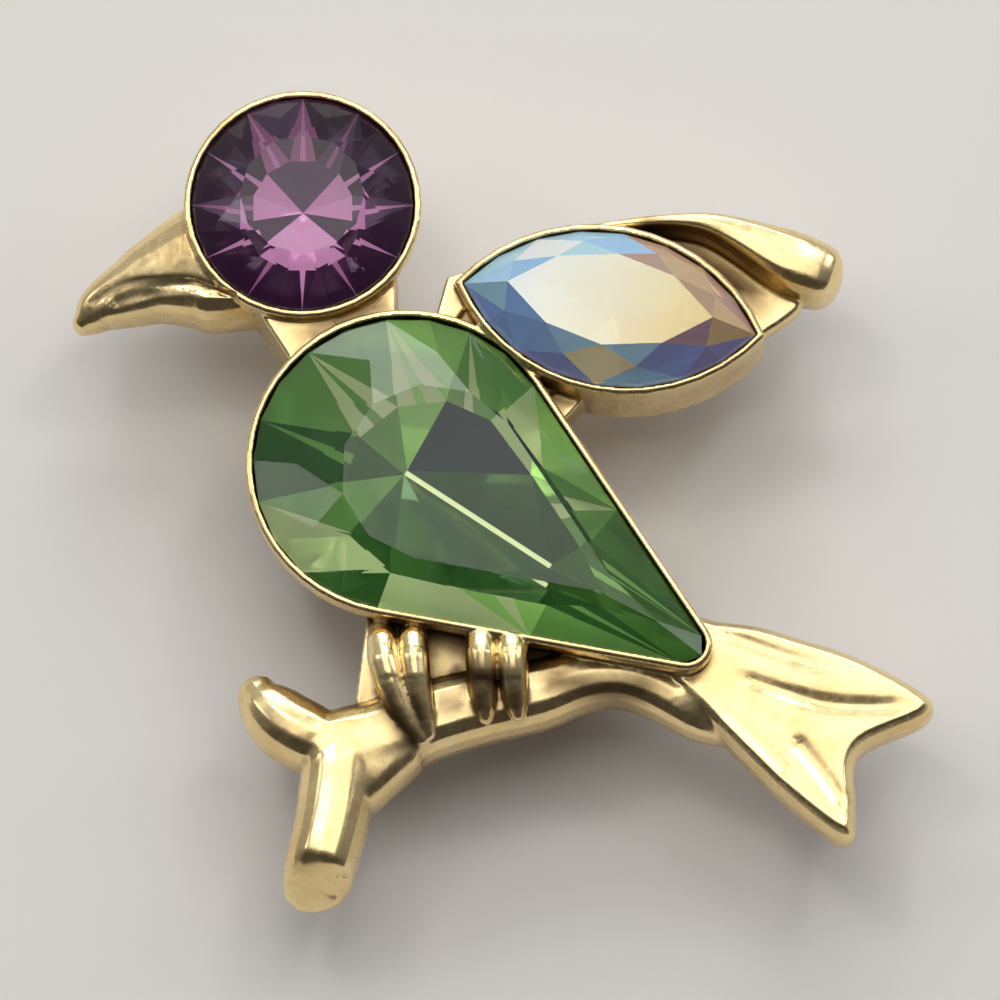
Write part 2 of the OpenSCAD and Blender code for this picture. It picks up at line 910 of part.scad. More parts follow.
module body_stone() {
    color("#4f9a3c")
        at_body()
            stone(pear_girdle(), [body_l * body_table_at, 0]);
}

module wing_stone() {
    color("#b8c4d8")
        at_wing()
            stone(navette_points(0, 8), [0, 0], wing_step);
}

// Pin finding along the body's length: plate, hinge barrel, stem and catch in one piece
module pin_back() {
    start = -(body_r + rim_w - pin_inset);
    barrel_r = barrel_d / 2;
    catch_wall = barrel_r - stem_d / 2 - catch_gap;
    catch_x = pin_len - catch_len;
    color("#b9a46c")
        at_body()
            translate([start, pin_side, 0]) {
                difference() {
                    union() {
                        // Plate
                        translate([0, -pin_w / 2, pin_h - plate_t])
                            cube([pin_len, pin_w, plate_t]);
                        // Hinge barrel across the plate
                        translate([barrel_r, -pin_w / 2, barrel_r])
                            rotate([-90, 0, 0])
                                cylinder(r = barrel_r, h = pin_w, $fn = 48);
                        translate([0, -pin_w / 2, barrel_r])
                            cube([barrel_d, pin_w, pin_h - barrel_r - plate_t / 2]);
                        // Catch
                        translate([catch_x, 0, barrel_r])
                            rotate([0, 90, 0])
                                cylinder(r = barrel_r, h = catch_len, $fn = 48);
                        translate([catch_x, -barrel_r, barrel_r])
                            cube([catch_len, barrel_r, pin_h - barrel_r - plate_t / 2]);
                        translate([catch_x, -pin_w / 2, 0])
                            cube([catch_len, pin_w, catch_wall]);
                    }
                    // Hollow of the catch, open to one side
                    translate([catch_x - 1, 0, barrel_r])
                        rotate([0, 90, 0])
                            cylinder(r = barrel_r - catch_wall, h = catch_len + 2, $fn = 48);
                    translate([catch_x - 1, 0, barrel_r])
                        cube([catch_len + 2, pin_w, stem_d / 2 + catch_gap]);
                }
                // Stem
                translate([barrel_r, 0, barrel_r])
                    rotate([0, 90, 0])
                        cylinder(r = stem_d / 2, h = pin_len - barrel_r - 0.2, $fn = 32);
            }
}

bird_frame();
head_stone();
body_stone();
wing_stone();
pin_back();
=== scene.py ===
# %% [markdown]
# # A bird brooch with three cut stones
#
# This lesson dresses a small cast brooch: a bird on a branch, with a round stone in the head, a pear-shaped
# stone in the body and a pointed oval stone in the wing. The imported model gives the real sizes. Here the
# casting gets its soft edges and fine relief, the stones get clean facets, glass and a foil back, and the
# whole is lit like a piece of jewellery on a pale table.

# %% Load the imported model
import bmesh
import bpy
import numpy as np
from mathutils import Matrix, Vector


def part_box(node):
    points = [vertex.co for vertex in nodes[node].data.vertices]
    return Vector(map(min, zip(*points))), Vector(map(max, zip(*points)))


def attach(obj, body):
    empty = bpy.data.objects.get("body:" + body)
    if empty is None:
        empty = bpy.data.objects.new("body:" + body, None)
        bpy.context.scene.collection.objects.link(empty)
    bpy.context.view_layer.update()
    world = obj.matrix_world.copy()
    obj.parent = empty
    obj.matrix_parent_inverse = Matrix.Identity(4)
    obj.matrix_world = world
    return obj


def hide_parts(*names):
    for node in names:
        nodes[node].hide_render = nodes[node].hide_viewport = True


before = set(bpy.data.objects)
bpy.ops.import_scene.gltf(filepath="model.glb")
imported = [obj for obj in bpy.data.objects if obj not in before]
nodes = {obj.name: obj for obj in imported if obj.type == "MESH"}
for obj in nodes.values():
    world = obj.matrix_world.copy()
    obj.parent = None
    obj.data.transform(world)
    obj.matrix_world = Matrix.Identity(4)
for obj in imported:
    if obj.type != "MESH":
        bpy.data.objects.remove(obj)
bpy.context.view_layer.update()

MM = 0.001
print("nodes:", sorted(nodes))


# %% [markdown]
# ## Places on the brooch
#
# Every piece is worked out in millimetres, in the plane of the brooch, and is turned to metres when its
# mesh is made. The boxes of the solid stones tell where they sit. The body leans by a fixed turn, and so do
# the wing and the beak, so a small helper turns points between the plane and a leaning frame.

# %% Turns in degrees, heights in millimetres
BODY_TURN = -33.9
WING_TURN = -10.4
BEAK_TURN = 204.8
GIRDLE_Z = 6.0
WING_STEP = 0.15
BACK_Z = 3.2


def box_mm(name):
    """Lowest and highest corner of a solid in millimetres."""
    low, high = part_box(name)
    return np.array(low) / MM, np.array(high) / MM


def heading(angle):
    """Unit direction at an angle: (cosine, sine)."""
    a = np.radians(angle)
    return np.array([np.cos(a), np.sin(a)])


def to_frame(points, origin, turn):
    """Plane points seen from a frame: the offset from its origin, along its heading and across it."""
    along = heading(turn)
    across = np.array([-along[1], along[0]])
    offset = points[:, :2] - origin
    return np.stack([offset @ along, offset @ across], axis=1)


def from_frame(points, origin, turn):
    """Frame points put back in the plane: origin + along * heading + across * side."""
    along = heading(turn)
    across = np.array([-along[1], along[0]])
    return origin + points[:, :1] * along + points[:, 1:2] * across


head_low, head_high = box_mm("head_stone")
HEAD_AT = ((head_low + head_high) / 2)[:2]
HEAD_RADIUS = (head_high[0] - head_low[0]) / 2
wing_low, wing_high = box_mm("wing_stone")
WING_AT = ((wing_low + wing_high) / 2)[:2]
body_low, body_high = box_mm("body_stone")
PEAR_LENGTH = 17.7
BODY_RADIUS = 5.3
TIP_RADIUS = 0.65
BODY_SPAN = PEAR_LENGTH - BODY_RADIUS - TIP_RADIUS
BODY_AT = np.array([body_low[0] + BODY_RADIUS, body_high[1] - BODY_RADIUS])
TAIL_AT = BODY_AT + BODY_SPAN * heading(BODY_TURN)
print("head", HEAD_AT.round(2), "body", BODY_AT.round(2))
print("wing", WING_AT.round(2), "tail", TAIL_AT.round(2))


# %% [markdown]
# ## How far is the nearest stone?
#
# The rims round the stones must stay crisp, and the metal beside a stone gets painted shade. Both need one
# number for each point: its distance from the nearest stone's outline, below zero inside the stone. It could
# be measured to the mesh of each stone, but formulas are quicker and exact: the round stone is a circle, the
# pear is what two circles of different size span, and the pointed oval is the overlap of two large circles.

# %% Distance from the stones
WING_HALF_LENGTH = 5.2
WING_HALF_WIDTH = 2.8
WING_RADIUS = (WING_HALF_LENGTH**2 + WING_HALF_WIDTH**2) / (2 * WING_HALF_WIDTH)


def pear_gap(spot):
    """Distance from the pear: from its large circle, its small circle or the line that touches both."""
    lean = (BODY_RADIUS - TIP_RADIUS) / BODY_SPAN
    up = np.sqrt(1 - lean**2)
    along, side = spot[:, 0], np.abs(spot[:, 1])
    reach = up * along - lean * side
    to_large = np.hypot(along, side) - BODY_RADIUS
    to_small = np.hypot(along - BODY_SPAN, side) - TIP_RADIUS
    to_line = lean * along + up * side - BODY_RADIUS
    return np.where(reach < 0, to_large, np.where(reach > up * BODY_SPAN, to_small, to_line))


def stone_gap(points):
    """Distance from the nearest of the three stones, in the plane of the brooch."""
    head = np.hypot(*(points[:, :2] - HEAD_AT).T) - HEAD_RADIUS
    body = pear_gap(to_frame(points, BODY_AT, BODY_TURN))
    spot = to_frame(points, WING_AT, WING_TURN)
    drop = WING_RADIUS - WING_HALF_WIDTH
    upper = np.hypot(spot[:, 0], spot[:, 1] + drop) - WING_RADIUS
    lower = np.hypot(spot[:, 0], spot[:, 1] - drop) - WING_RADIUS
    return np.minimum(np.minimum(head, body), np.maximum(upper, lower))


print("distance of the body's centre:", stone_gap(BODY_AT[None]).round(2))


# %% [markdown]
# ## Meshes from arrays
#
# A mesh is only a list of points and a list of faces. Moving hundreds of thousands of points one by one
# would be slow, so they are read as one numpy array, worked on together and handed back in one go.

# %% Mesh helpers
def new_piece(name, points_mm, faces, material, smooth=True):
    """Makes an object from points in millimetres and faces that list their corners."""
    mesh = bpy.data.meshes.new(name)
    mesh.from_pydata((np.asarray(points_mm) * MM).tolist(), [], [list(f) for f in faces])
    mesh.materials.append(material)
    mesh.polygons.foreach_set("use_smooth", np.full(len(mesh.polygons), smooth))
    mesh.update()
    piece = bpy.data.objects.new(name, mesh)
    bpy.context.scene.collection.objects.link(piece)
    return piece


def mesh_points(mesh):
    """All vertex places of a mesh as an array of rows."""
    flat = np.empty(len(mesh.vertices) * 3, np.float32)
    mesh.vertices.foreach_get("co", flat)
    return flat.reshape(-1, 3).astype(float)


def set_points(mesh, points):
    """Writes an array of rows back into a mesh."""
    mesh.vertices.foreach_set("co", points.astype(np.float32).ravel())
    mesh.update()


def mesh_edges(mesh):
    """All edges of a mesh as pairs of vertex numbers."""
    flat = np.empty(len(mesh.edges) * 2, np.int32)
    mesh.edges.foreach_get("vertices", flat)
    return flat.reshape(-1, 2)


def mesh_normals(mesh):
    """Smooth normals of a mesh's vertices."""
    flat = np.empty(len(mesh.vertices) * 3, np.float32)
    mesh.vertex_normals.foreach_get("vector", flat)
    return flat.reshape(-1, 3).astype(float)


# %% [markdown]
# ## Nodes without clutter
#
# A material is a small graph. These helpers add a node, set its plain numbers and link it, so that each
# finish below reads as a short recipe. Patterns follow the piece's own coordinates, so they stay with it
# when it moves.

# %% Material helpers
def new_material(name):
    """A material with an empty graph, its shader and its output."""
    material = bpy.data.materials.new(name)
    material.use_nodes = True
    tree = material.node_tree
    tree.nodes.clear()
    output = tree.nodes.new("ShaderNodeOutputMaterial")
    shader = tree.nodes.new("ShaderNodeBsdfPrincipled")
    tree.links.new(shader.outputs["BSDF"], output.inputs["Surface"])
    return material, tree, shader


def node(tree, kind, **values):
    """Adds a node and sets its properties by name. The numbers of its sockets come as a dictionary."""
    made = tree.nodes.new(kind)
    for key, value in values.items():
        if key == "inputs":
            for socket, number in value.items():
                made.inputs[socket].default_value = number
        else:
            setattr(made, key, value)
    return made


def noise(tree, scale, detail, roughness):
    """Noise on object coordinates. The scale is in features per metre."""
    place = node(tree, "ShaderNodeTexCoord")
    numbers = {"Scale": scale, "Detail": detail, "Roughness": roughness}
    pattern = node(tree, "ShaderNodeTexNoise", inputs=numbers)
    tree.links.new(place.outputs["Object"], pattern.inputs["Vector"])
    return pattern.outputs["Fac"]


def spread(tree, value, low, high, to_low, to_high):
    """Maps a value from one span to another, clamped."""
    numbers = {"From Min": low, "From Max": high, "To Min": to_low, "To Max": to_high}
    made = node(tree, "ShaderNodeMapRange", inputs=numbers)
    tree.links.new(value, made.inputs["Value"])
    return made.outputs["Result"]


# Places of a mix node's sockets when it mixes colours
MIX_FACTOR, MIX_FIRST, MIX_SECOND, MIX_RESULT = 0, 6, 7, 2


def blend_colour(tree, factor, first, second):
    """Mixes two colours; each is a plain colour or the output of a node."""
    made = node(tree, "ShaderNodeMix", data_type="RGBA")
    tree.links.new(factor, made.inputs[MIX_FACTOR])
    for socket, value in ((made.inputs[MIX_FIRST], first), (made.inputs[MIX_SECOND], second)):
        if isinstance(value, tuple):
            socket.default_value = (*value, 1)
        else:
            tree.links.new(value, socket)
    return made.outputs[MIX_RESULT]


# %% [markdown]
# ## The plated casting
#
# The real metal is a zinc alloy with a thin pale gold plating. It is smooth, but not a mirror: tiny waves
# from the mould bend its reflections, hollows get painted shade, a darker and duller colour, and raised
# edges are rubbed bright. Painting them by hand would take long, so they come from the mesh itself, as one
# number for each point that is worked out further down. Faint clouds of tan break up the plain colour.

# %% Gold plating
# Features per metre of the tan clouds, of the waves and of the fine grain
CLOUD_SCALE = 420
WAVE_SCALE = 700
GRAIN_SCALE = 2600
# Heights in metres
WAVE_HEIGHT = 0.00003
GRAIN_HEIGHT = 0.000006
# Shares of red, green and blue that the tan clouds keep
TAN_SHARES = (0.86, 0.79, 0.70)
# Spans of the attribute read as painted shade and as rubbed wear, and of the noise for clouds and grain
PAINTED_SHADE_SPAN = (0.04, 0.48)
RUBBED_WEAR = (0.52, 0.8)
CLOUD_SPAN = (0.42, 0.66)
GRAIN_SPAN = (0.3, 0.7)


def plating(name, colour, painted_shade_colour, roughness):
    """Pale gold: its attribute paints shade into hollows below 0.5 and brightens rubbed edges above it."""
    material, tree, shader = new_material(name)
    painted_shade_and_wear = node(tree, "ShaderNodeAttribute", attribute_name="painted_shade_and_wear").outputs["Fac"]
    cloud = noise(tree, CLOUD_SCALE, 4, 0.6)
    painted_shade = spread(tree, painted_shade_and_wear, *PAINTED_SHADE_SPAN, 1, 0)
    rubbed = spread(tree, painted_shade_and_wear, *RUBBED_WEAR, 0, 0.6)
    pale = tuple(min(1, c * 1.08 + 0.04) for c in colour)
    tan = tuple(c * share for c, share in zip(colour, TAN_SHARES))
    base = blend_colour(tree, spread(tree, cloud, *CLOUD_SPAN, 0, 1), colour, tan)
    base = blend_colour(tree, rubbed, base, pale)
    base = blend_colour(tree, painted_shade, base, painted_shade_colour)
    tree.links.new(base, shader.inputs["Base Color"])
    shader.inputs["Metallic"].default_value = 1
    grain = noise(tree, GRAIN_SCALE, 4, 0.6)
    rough = node(tree, "ShaderNodeMath", operation="ADD")
    grain_rough = spread(tree, grain, *GRAIN_SPAN, roughness - 0.05, roughness + 0.07)
    tree.links.new(grain_rough, rough.inputs[0])
    tree.links.new(spread(tree, painted_shade, 0, 1, 0, 0.2), rough.inputs[1])
    tree.links.new(rough.outputs[0], shader.inputs["Roughness"])
    waves = noise(tree, WAVE_SCALE, 2, 0.5)
    bump = node(tree, "ShaderNodeBump", inputs={"Strength": 0.5, "Distance": WAVE_HEIGHT})
    tree.links.new(waves, bump.inputs["Height"])
    fine = node(tree, "ShaderNodeBump", inputs={"Strength": 0.15, "Distance": GRAIN_HEIGHT})
    tree.links.new(grain, fine.inputs["Height"])
    tree.links.new(bump.outputs["Normal"], fine.inputs["Normal"])
    tree.links.new(fine.outputs["Normal"], shader.inputs["Normal"])
    return material


# The dark colour is painted shade in hollows, creases and beside rims; the pin's finish paints none
casting_gold = plating("casting_gold", (0.95, 0.75, 0.39), (0.10, 0.058, 0.026), 0.24)
finding_gold = plating("finding_gold", (0.82, 0.65, 0.36), (0.82, 0.65, 0.36), 0.3)
print("materials:", casting_gold.name, finding_gold.name)


# %% [markdown]
# ## Softening the casting
#
# Metal that was poured into a mould has no knife edges: every corner is rounded and every joint between two
# forms has a small fillet. Rounding each edge by hand would take long. Instead, a copy of the solid is
# turned into one even skin of small squares, and that skin is smoothed in the places that were only cast.

# %% One even skin
SKIN_STEP = 0.055
MERGE_DISTANCE = 0.0001


def even_skin(source, step):
    """A closed skin of even squares, step millimetres wide, round a copy of a node, in millimetres."""
    mesh = source.data.copy()
    mesh.transform(Matrix.Scale(1 / MM, 4))
    loose = bmesh.new()
    loose.from_mesh(mesh)
    bmesh.ops.remove_doubles(loose, verts=loose.verts, dist=MERGE_DISTANCE)
    loose.to_mesh(mesh)
    loose.free()
    work = bpy.data.objects.new("skin_work", mesh)
    bpy.context.scene.collection.objects.link(work)
    remesh = work.modifiers.new("skin", "REMESH")
    remesh.mode = "VOXEL"
    remesh.voxel_size = step
    seen = work.evaluated_get(bpy.context.evaluated_depsgraph_get())
    skin = bpy.data.meshes.new_from_object(seen)
    bpy.data.objects.remove(work)
    return skin


def neighbour_counts(edges, size):
    """Number of neighbours of each point, at least one."""
    return np.maximum(np.bincount(edges.ravel(), minlength=size), 1).astype(float)


def neighbour_mean(values, edges, counts):
    """Mean of each point's neighbours: both ends of every edge are summed up and divided by the count."""
    total = np.empty_like(values)
    for axis in range(values.shape[1]):
        total[:, axis] = np.bincount(edges[:, 0], values[edges[:, 1], axis], len(values))
        total[:, axis] += np.bincount(edges[:, 1], values[edges[:, 0], axis], len(values))
    return total / counts[:, None]


def relax(points, edges, share, passes, push):
    """Smooths a skin: each pass moves a point by half of the way to its neighbours' mean, then back by the
    push. A push above a half keeps the size, a smaller one rounds more. The share says how much of each move
    a point takes; edges between points without a share are left out."""
    edges = edges[(share[edges] > 0).any(axis=1)]
    counts = neighbour_counts(edges, len(points))
    share = share[:, None]
    for _ in range(passes):
        points = points + 0.5 * share * (neighbour_mean(points, edges, counts) - points)
        points = points - push * share * (neighbour_mean(points, edges, counts) - points)
    return points


def ramp(values, low, high):
    """0 below low, 1 above high and an even slope between."""
    return np.clip((values - low) / (high - low), 0, 1)


skin = even_skin(nodes["bird_frame"], SKIN_STEP)
skin_edges = mesh_edges(skin)
skin_points = mesh_points(skin)
print("skin:", len(skin_points), "points")


# %% [markdown]
# ## Which edges stay crisp?
#
# On the real brooch the thin rims round the stones are crisp. The walls of the cups and the joints between
# neck, feet, branch and tail are smooth and round. One smoothing of everything would melt the rims.
# Instead, each point gets a share of the smoothing that depends on its distance from the nearest stone and
# on its height. A few spots where several forms meet get more of it.

# %% Crisp rims, soft joints
FORK_AT = (-5.85, -8.93)
# Spans over which a share rises from 0 to 1: distances in millimetres from a stone or a spot, and heights
NEAR_STONES = (1.6, 2.6)
BELOW_RIMS = (5.3, 5.8)
WALL_START = (0.15, 0.3)
RIM_FADE = (0.3, 0.6)
JOINT_START = (0.55, 0.9)
SPOT_START = (0.3, 0.5)
FORK_FADE = (3.0, 4.4)
RIM_MIDDLE = 0.14
RIM_KEEPS = 0.55
JOINT_SHARE = 0.8
SOFT_SPOTS = [
    # x, y, reach, fade
    (*FORK_AT, 1.7, 3.0),
    (-3.7, -10.2, 0.9, 1.7),
    (-6.3, -14.3, 1.2, 2.2),
    (-8.0, 5.8, 1.2, 2.2),
    (-6.0, 6.2, 1.2, 2.2),
    (-3.8, 6.9, 1.0, 1.8),
    (-1.8, 6.9, 0.9, 1.6),
    (2.4, 3.1, 0.6, 1.2),
    (10.4, 7.2, 0.8, 1.6),
]


def near_spot(points, x, y, reach, fade):
    """1 within the reach of a spot, 0 beyond the fade."""
    return 1 - ramp(np.hypot(points[:, 0] - x, points[:, 1] - y), reach, fade)


def near_any(points, rows):
    """The largest share that any of the spots gives a point."""
    return np.max([near_spot(points, *row) for row in rows], axis=0)


gap = stone_gap(skin_points)
near_stones = 1 - ramp(gap, *NEAR_STONES)
below_rims = 1 - ramp(skin_points[:, 2], *BELOW_RIMS)
wall_share = JOINT_SHARE * ramp(gap, *WALL_START) * near_stones * below_rims
rim_share = (1 - ramp(np.abs(gap - RIM_MIDDLE), *RIM_FADE)) * (1 - wall_share)
skin_points = relax(skin_points, skin_edges, 1 - RIM_KEEPS * rim_share, passes=14, push=0.52)
joint_share = JOINT_SHARE * ramp(gap, *JOINT_START) * near_stones
joint_share = np.maximum(joint_share, near_spot(skin_points, *FORK_AT, *FORK_FADE))
joint_share = np.maximum(joint_share, wall_share)
skin_points = relax(skin_points, skin_edges, joint_share, passes=36, push=0.506)
soft_share = near_any(skin_points, SOFT_SPOTS) * ramp(gap, *SPOT_START)
skin_points = relax(skin_points, skin_edges, soft_share, passes=30, push=0.44)
print("softened, rims:", int((rim_share > 0.5).sum()), "joints:", int((joint_share > 0.5).sum()))


# %% [markdown]
# ## Free ends
#
# The ends of the feather, the beak and the branch are rounder than the rest. The lower stub of the branch
# ends in a slope. The solid has a small step there, which could be cut off with another shape. A roof over
# the end, a height that no point may pass, does the same without a seam.

# %% Round the free ends
ROUND_ENDS = [
    # x, y, reach, fade
    (11.7, 8.0, 0.9, 1.8),
    (-6.3, -14.5, 0.5, 1.1),
    (-13.9, 7.4, 0.8, 1.6),
    (-4.2, -9.9, 1.0, 2.0),
    (2.5, 9.6, 0.7, 1.4),
]
END_START = (0.4, 0.6)
STUB_AT = np.array([-6.3, -13.0])
STUB_SQUEEZE = np.array([0.6, 1])
STUB_FREE = 0.6
STUB_RADIUS = 1.11
STUB_TOP = 4.1
STUB_STEEPNESS = 1.8


def under_roof(points):
    """Heights kept under a roof over the stub's end: top minus steepness times the distance from the rim."""
    out = (points[:, :2] - STUB_AT) * STUB_SQUEEZE
    roof = STUB_TOP - STUB_STEEPNESS * (np.hypot(*out.T) - STUB_RADIUS)
    cut = np.minimum(points[:, 2], np.maximum(roof, BACK_Z))
    return np.where(out[:, 1] < -STUB_FREE, cut, points[:, 2])


skin_points[:, 2] = under_roof(skin_points)
end_share = near_any(skin_points, ROUND_ENDS) * np.maximum(ramp(gap, *END_START), wall_share)
skin_points = relax(skin_points, skin_edges, end_share, passes=90, push=0.42)
set_points(skin, skin_points)
print("rounded ends:", int((end_share > 0.5).sum()), "points")


# %% [markdown]
# ## Filling the sharp grooves
#
# The solid model has straight, sharp grooves in the tail and the beak, and a fold beside the fork of the
# branch. The real metal is soft there. Like a soap film over a dent, each point of these areas rises to the
# mean height of its neighbours where that is higher. After many rounds the dents are closed, and soft
# grooves can be pressed in afterwards.

# %% Fill the grooves
UP_LIMIT = 0.25
TAIL_START = 0.3
BEAK_START = 3.4
BEAK_HALF_WIDTH = 3.4
TAIL_CLEAR = 0.45
BEAK_CLEAR = 0.35
FILL_PASSES = 300
FILLED_SHARE = 0.8
# x, y, reach, fade
FOLD = (-3.95, -9.75, 1.2, 1.4)


def close_dents(points, edges, chosen):
    """Heights of the chosen points after rounds of: the greater of a height and its neighbours' mean. Points
    at the border of the area stay."""
    number = np.cumsum(chosen) - 1
    pairs = number[edges[chosen[edges].all(axis=1)]]
    height = points[chosen, 2:3]
    counts = neighbour_counts(pairs, len(height))
    free = counts == neighbour_counts(edges, len(points))[chosen]
    for _ in range(FILL_PASSES):
        height[free] = np.maximum(height, neighbour_mean(height, pairs, counts))[free]
    return height[:, 0]


faces_up = mesh_normals(skin)[:, 2] > UP_LIMIT
tail = to_frame(skin_points, TAIL_AT, BODY_TURN)
beak = to_frame(skin_points, HEAD_AT, BEAK_TURN)
on_tail = faces_up & (tail[:, 0] > TAIL_START) & (gap > TAIL_CLEAR)
in_beak = (beak[:, 0] > BEAK_START) & (np.abs(beak[:, 1]) < BEAK_HALF_WIDTH)
on_beak = faces_up & in_beak & (gap > BEAK_CLEAR)
on_fold = faces_up & (near_spot(skin_points, *FOLD) > 0.5)
for area in (on_tail, on_beak, on_fold):
    skin_points[area, 2] = close_dents(skin_points, skin_edges, area)
area_share = FILLED_SHARE * (on_tail | on_beak | on_fold)
skin_points = relax(skin_points, skin_edges, area_share, passes=12, push=0.50)
set_points(skin, skin_points)
print("closed dents on", int(on_tail.sum()), "points of the tail and", int(on_beak.sum()), "of the beak")


# %% [markdown]
# ## Relief of the casting
#
# The tail is parted into feathers by soft grooves, the beak has a mouth line, and the toes are a little
# round. They could be cut into the mesh with other shapes, but a cut leaves sharp edges. Here each is a
# height that depends only on the distance from a curve, so it can be added to all the points of the skin at
# once.

# %% Curves and heights
def smooth_curve(knots, steps=16):
    """Points along a Catmull-Rom curve through the knots."""
    knots = np.asarray(knots, float)
    padded = np.vstack([2 * knots[0] - knots[1], knots, 2 * knots[-1] - knots[-2]])
    a, b, c, d = (padded[i:len(padded) - 3 + i, None] for i in range(4))
    t = np.linspace(0, 1, steps, endpoint=False)[None, :, None]
    curve = 0.5 * (2 * b + (c - a) * t + (2 * a - 5 * b + 4 * c - d) * t**2 + (3 * b - a - 3 * c + d) * t**3)
    return np.vstack([curve.reshape(-1, knots.shape[1]), knots[-1:]])


def groove_height(points, knots, width, depth):
    """A groove along a curve: minus depth times a bell of distance over width, fading at both ends."""
    curve = smooth_curve(knots)
    low, high = curve.min(0) - 3 * width, curve.max(0) + 3 * width
    near = np.flatnonzero(((points > low) & (points < high)).all(axis=1))
    height = np.zeros(len(points))
    if len(near):
        gaps = np.linalg.norm(points[near, None] - curve[None], axis=2)
        best = gaps.argmin(axis=1)
        share = best / (len(curve) - 1)
        fade = np.clip(6 * np.minimum(share, 1 - share) + 0.25, 0, 1)
        height[near] = -depth * fade * np.exp(-(gaps.min(axis=1) / width) ** 2)
    return height


TAIL_GROOVES = [
    # knots in the tail's frame, width, depth; a depth below zero makes a ridge
    ([(0.4, 1.25), (2.25, 1.66), (4.6, 2.3)], 0.28, 0.07),
    ([(1.9, 0.32), (3.1, 0.62), (4.9, 1.12), (6.3, 1.92), (7.6, 2.88)], 0.30, 0.09),
    ([(4.7, -0.42), (6.25, -0.92), (7.7, -1.48)], 0.30, 0.09),
    ([(2.0, -0.9), (3.9, -1.24), (5.6, -1.64)], 0.28, 0.07),
    ([(1.4, -0.25), (3.2, -0.42), (4.4, -0.3)], 0.5, 0.04),
    ([(3.2, 1.5), (5.0, 2.1), (6.4, 2.7)], 0.5, -0.035),
    ([(3.0, 0.1), (5.2, 0.2), (6.4, 0.6)], 0.5, -0.035),
]
BEAK_GROOVES = [
    # knots in the beak's frame, width, depth
    ([(7.7, 0.2), (6.6, 0.35), (5.06, 0.81), (4.0, 1.6)], 0.26, 0.11),
]
TOE_BUMPS = [
    # knots in the plane of the brooch, width, depth
    ([(-4.05, -5.6), (-3.9, -6.9)], 0.5, -0.05),
    ([(-3.1, -5.7), (-3.0, -6.9)], 0.5, -0.05),
    ([(-0.6, -5.8), (-0.55, -6.9)], 0.5, -0.05),
    ([(0.38, -5.9), (0.4, -6.9)], 0.5, -0.05),
]


def relief(points):
    """Height to add to each point of the skin's upper side, in millimetres."""
    places = (
        (to_frame(points, TAIL_AT, BODY_TURN), TAIL_GROOVES),
        (to_frame(points, HEAD_AT, BEAK_TURN), BEAK_GROOVES),
        (points[:, :2], TOE_BUMPS),
    )
    return sum(
        groove_height(place, knots, width, depth)
        for place, rows in places
        for knots, width, depth in rows
    )


# 0 on walls, 1 on faces that look up, by the height of the normal
UP_START, UP_SPAN = 0.2, 0.5
upward = np.clip((mesh_normals(skin)[:, 2] - UP_START) / UP_SPAN, 0, 1)
skin_points[:, 2] += upward * relief(skin_points)
set_points(skin, skin_points)
print("relief added to", int((upward > 0).sum()), "points")


# %% [markdown]
# ## Hollows and rubbed edges
# Hollows, creases and the metal beside the stones get painted shade, darker where less sky is seen, and
# raised edges are rubbed bright. Edges show in the curvature: the distance of a point from its neighbours'
# mean, along the normal. Hollows show in how much sky a point sees. Rays could find that out, but many rays
# for each point take long. Instead the surface is kept as a map of heights, and from each point the
# steepest slope up to the surface is looked for in twelve directions.

# %% Curvature and sky
SKY_CELL = 0.1
SKY_TURNS = 12
SKY_REACH = [0.2, 0.35, 0.5, 0.7, 0.95, 1.3, 1.8, 2.5]
MAP_MARGIN = 0.5
STONE_RISE = 0.75
EDGE_UNIT = 0.03 * SKIN_STEP


def average(values, edges, passes):
    """Values of the points after rounds of taking the neighbours' mean."""
    counts = neighbour_counts(edges, len(values))
    values = values[:, None]
    for _ in range(passes):
        values = neighbour_mean(values, edges, counts)
    return values[:, 0]


def edge_of(points, normals, edges):
    """Above zero on edges and below zero in creases, softened over a few neighbours."""
    mean = neighbour_mean(points, edges, neighbour_counts(edges, len(points)))
    bulge = ((points - mean) * normals).sum(axis=1)
    return np.tanh(average(bulge, edges, passes=16) / EDGE_UNIT)


def height_map(points):
    """Highest point in each small square, with the stones filled in, and the corner where the map starts."""
    start = points[:, :2].min(axis=0) - MAP_MARGIN
    size = np.ceil((points[:, :2].max(axis=0) + MAP_MARGIN - start) / SKY_CELL).astype(int) + 1
    cell = ((points[:, :2] - start) / SKY_CELL).astype(int)
    tops = np.full(size, BACK_Z - 1.0)
    np.maximum.at(tops, (cell[:, 0], cell[:, 1]), points[:, 2])
    middles = start + SKY_CELL * (np.stack(np.indices(size), axis=-1).reshape(-1, 2) + 0.5)
    inside = (stone_gap(middles) < 0).reshape(size)
    tops[inside] = GIRDLE_Z + STONE_RISE
    return tops, start


def sky_seen(points, tops, start):
    """Share of the sky above a point: the mean, over all directions, of one minus the squared sine of the
    horizon's height."""
    seen = np.zeros(len(points))
    for k in range(SKY_TURNS):
        slope = np.zeros(len(points))
        for reach in SKY_REACH:
            cell = ((points[:, :2] + reach * heading(360 * k / SKY_TURNS) - start) / SKY_CELL).astype(int)
            cell = np.clip(cell, 0, np.array(tops.shape) - 1)
            slope = np.maximum(slope, (tops[cell[:, 0], cell[:, 1]] - points[:, 2]) / reach)
        seen += 1 / (1 + slope**2)
    return seen / SKY_TURNS
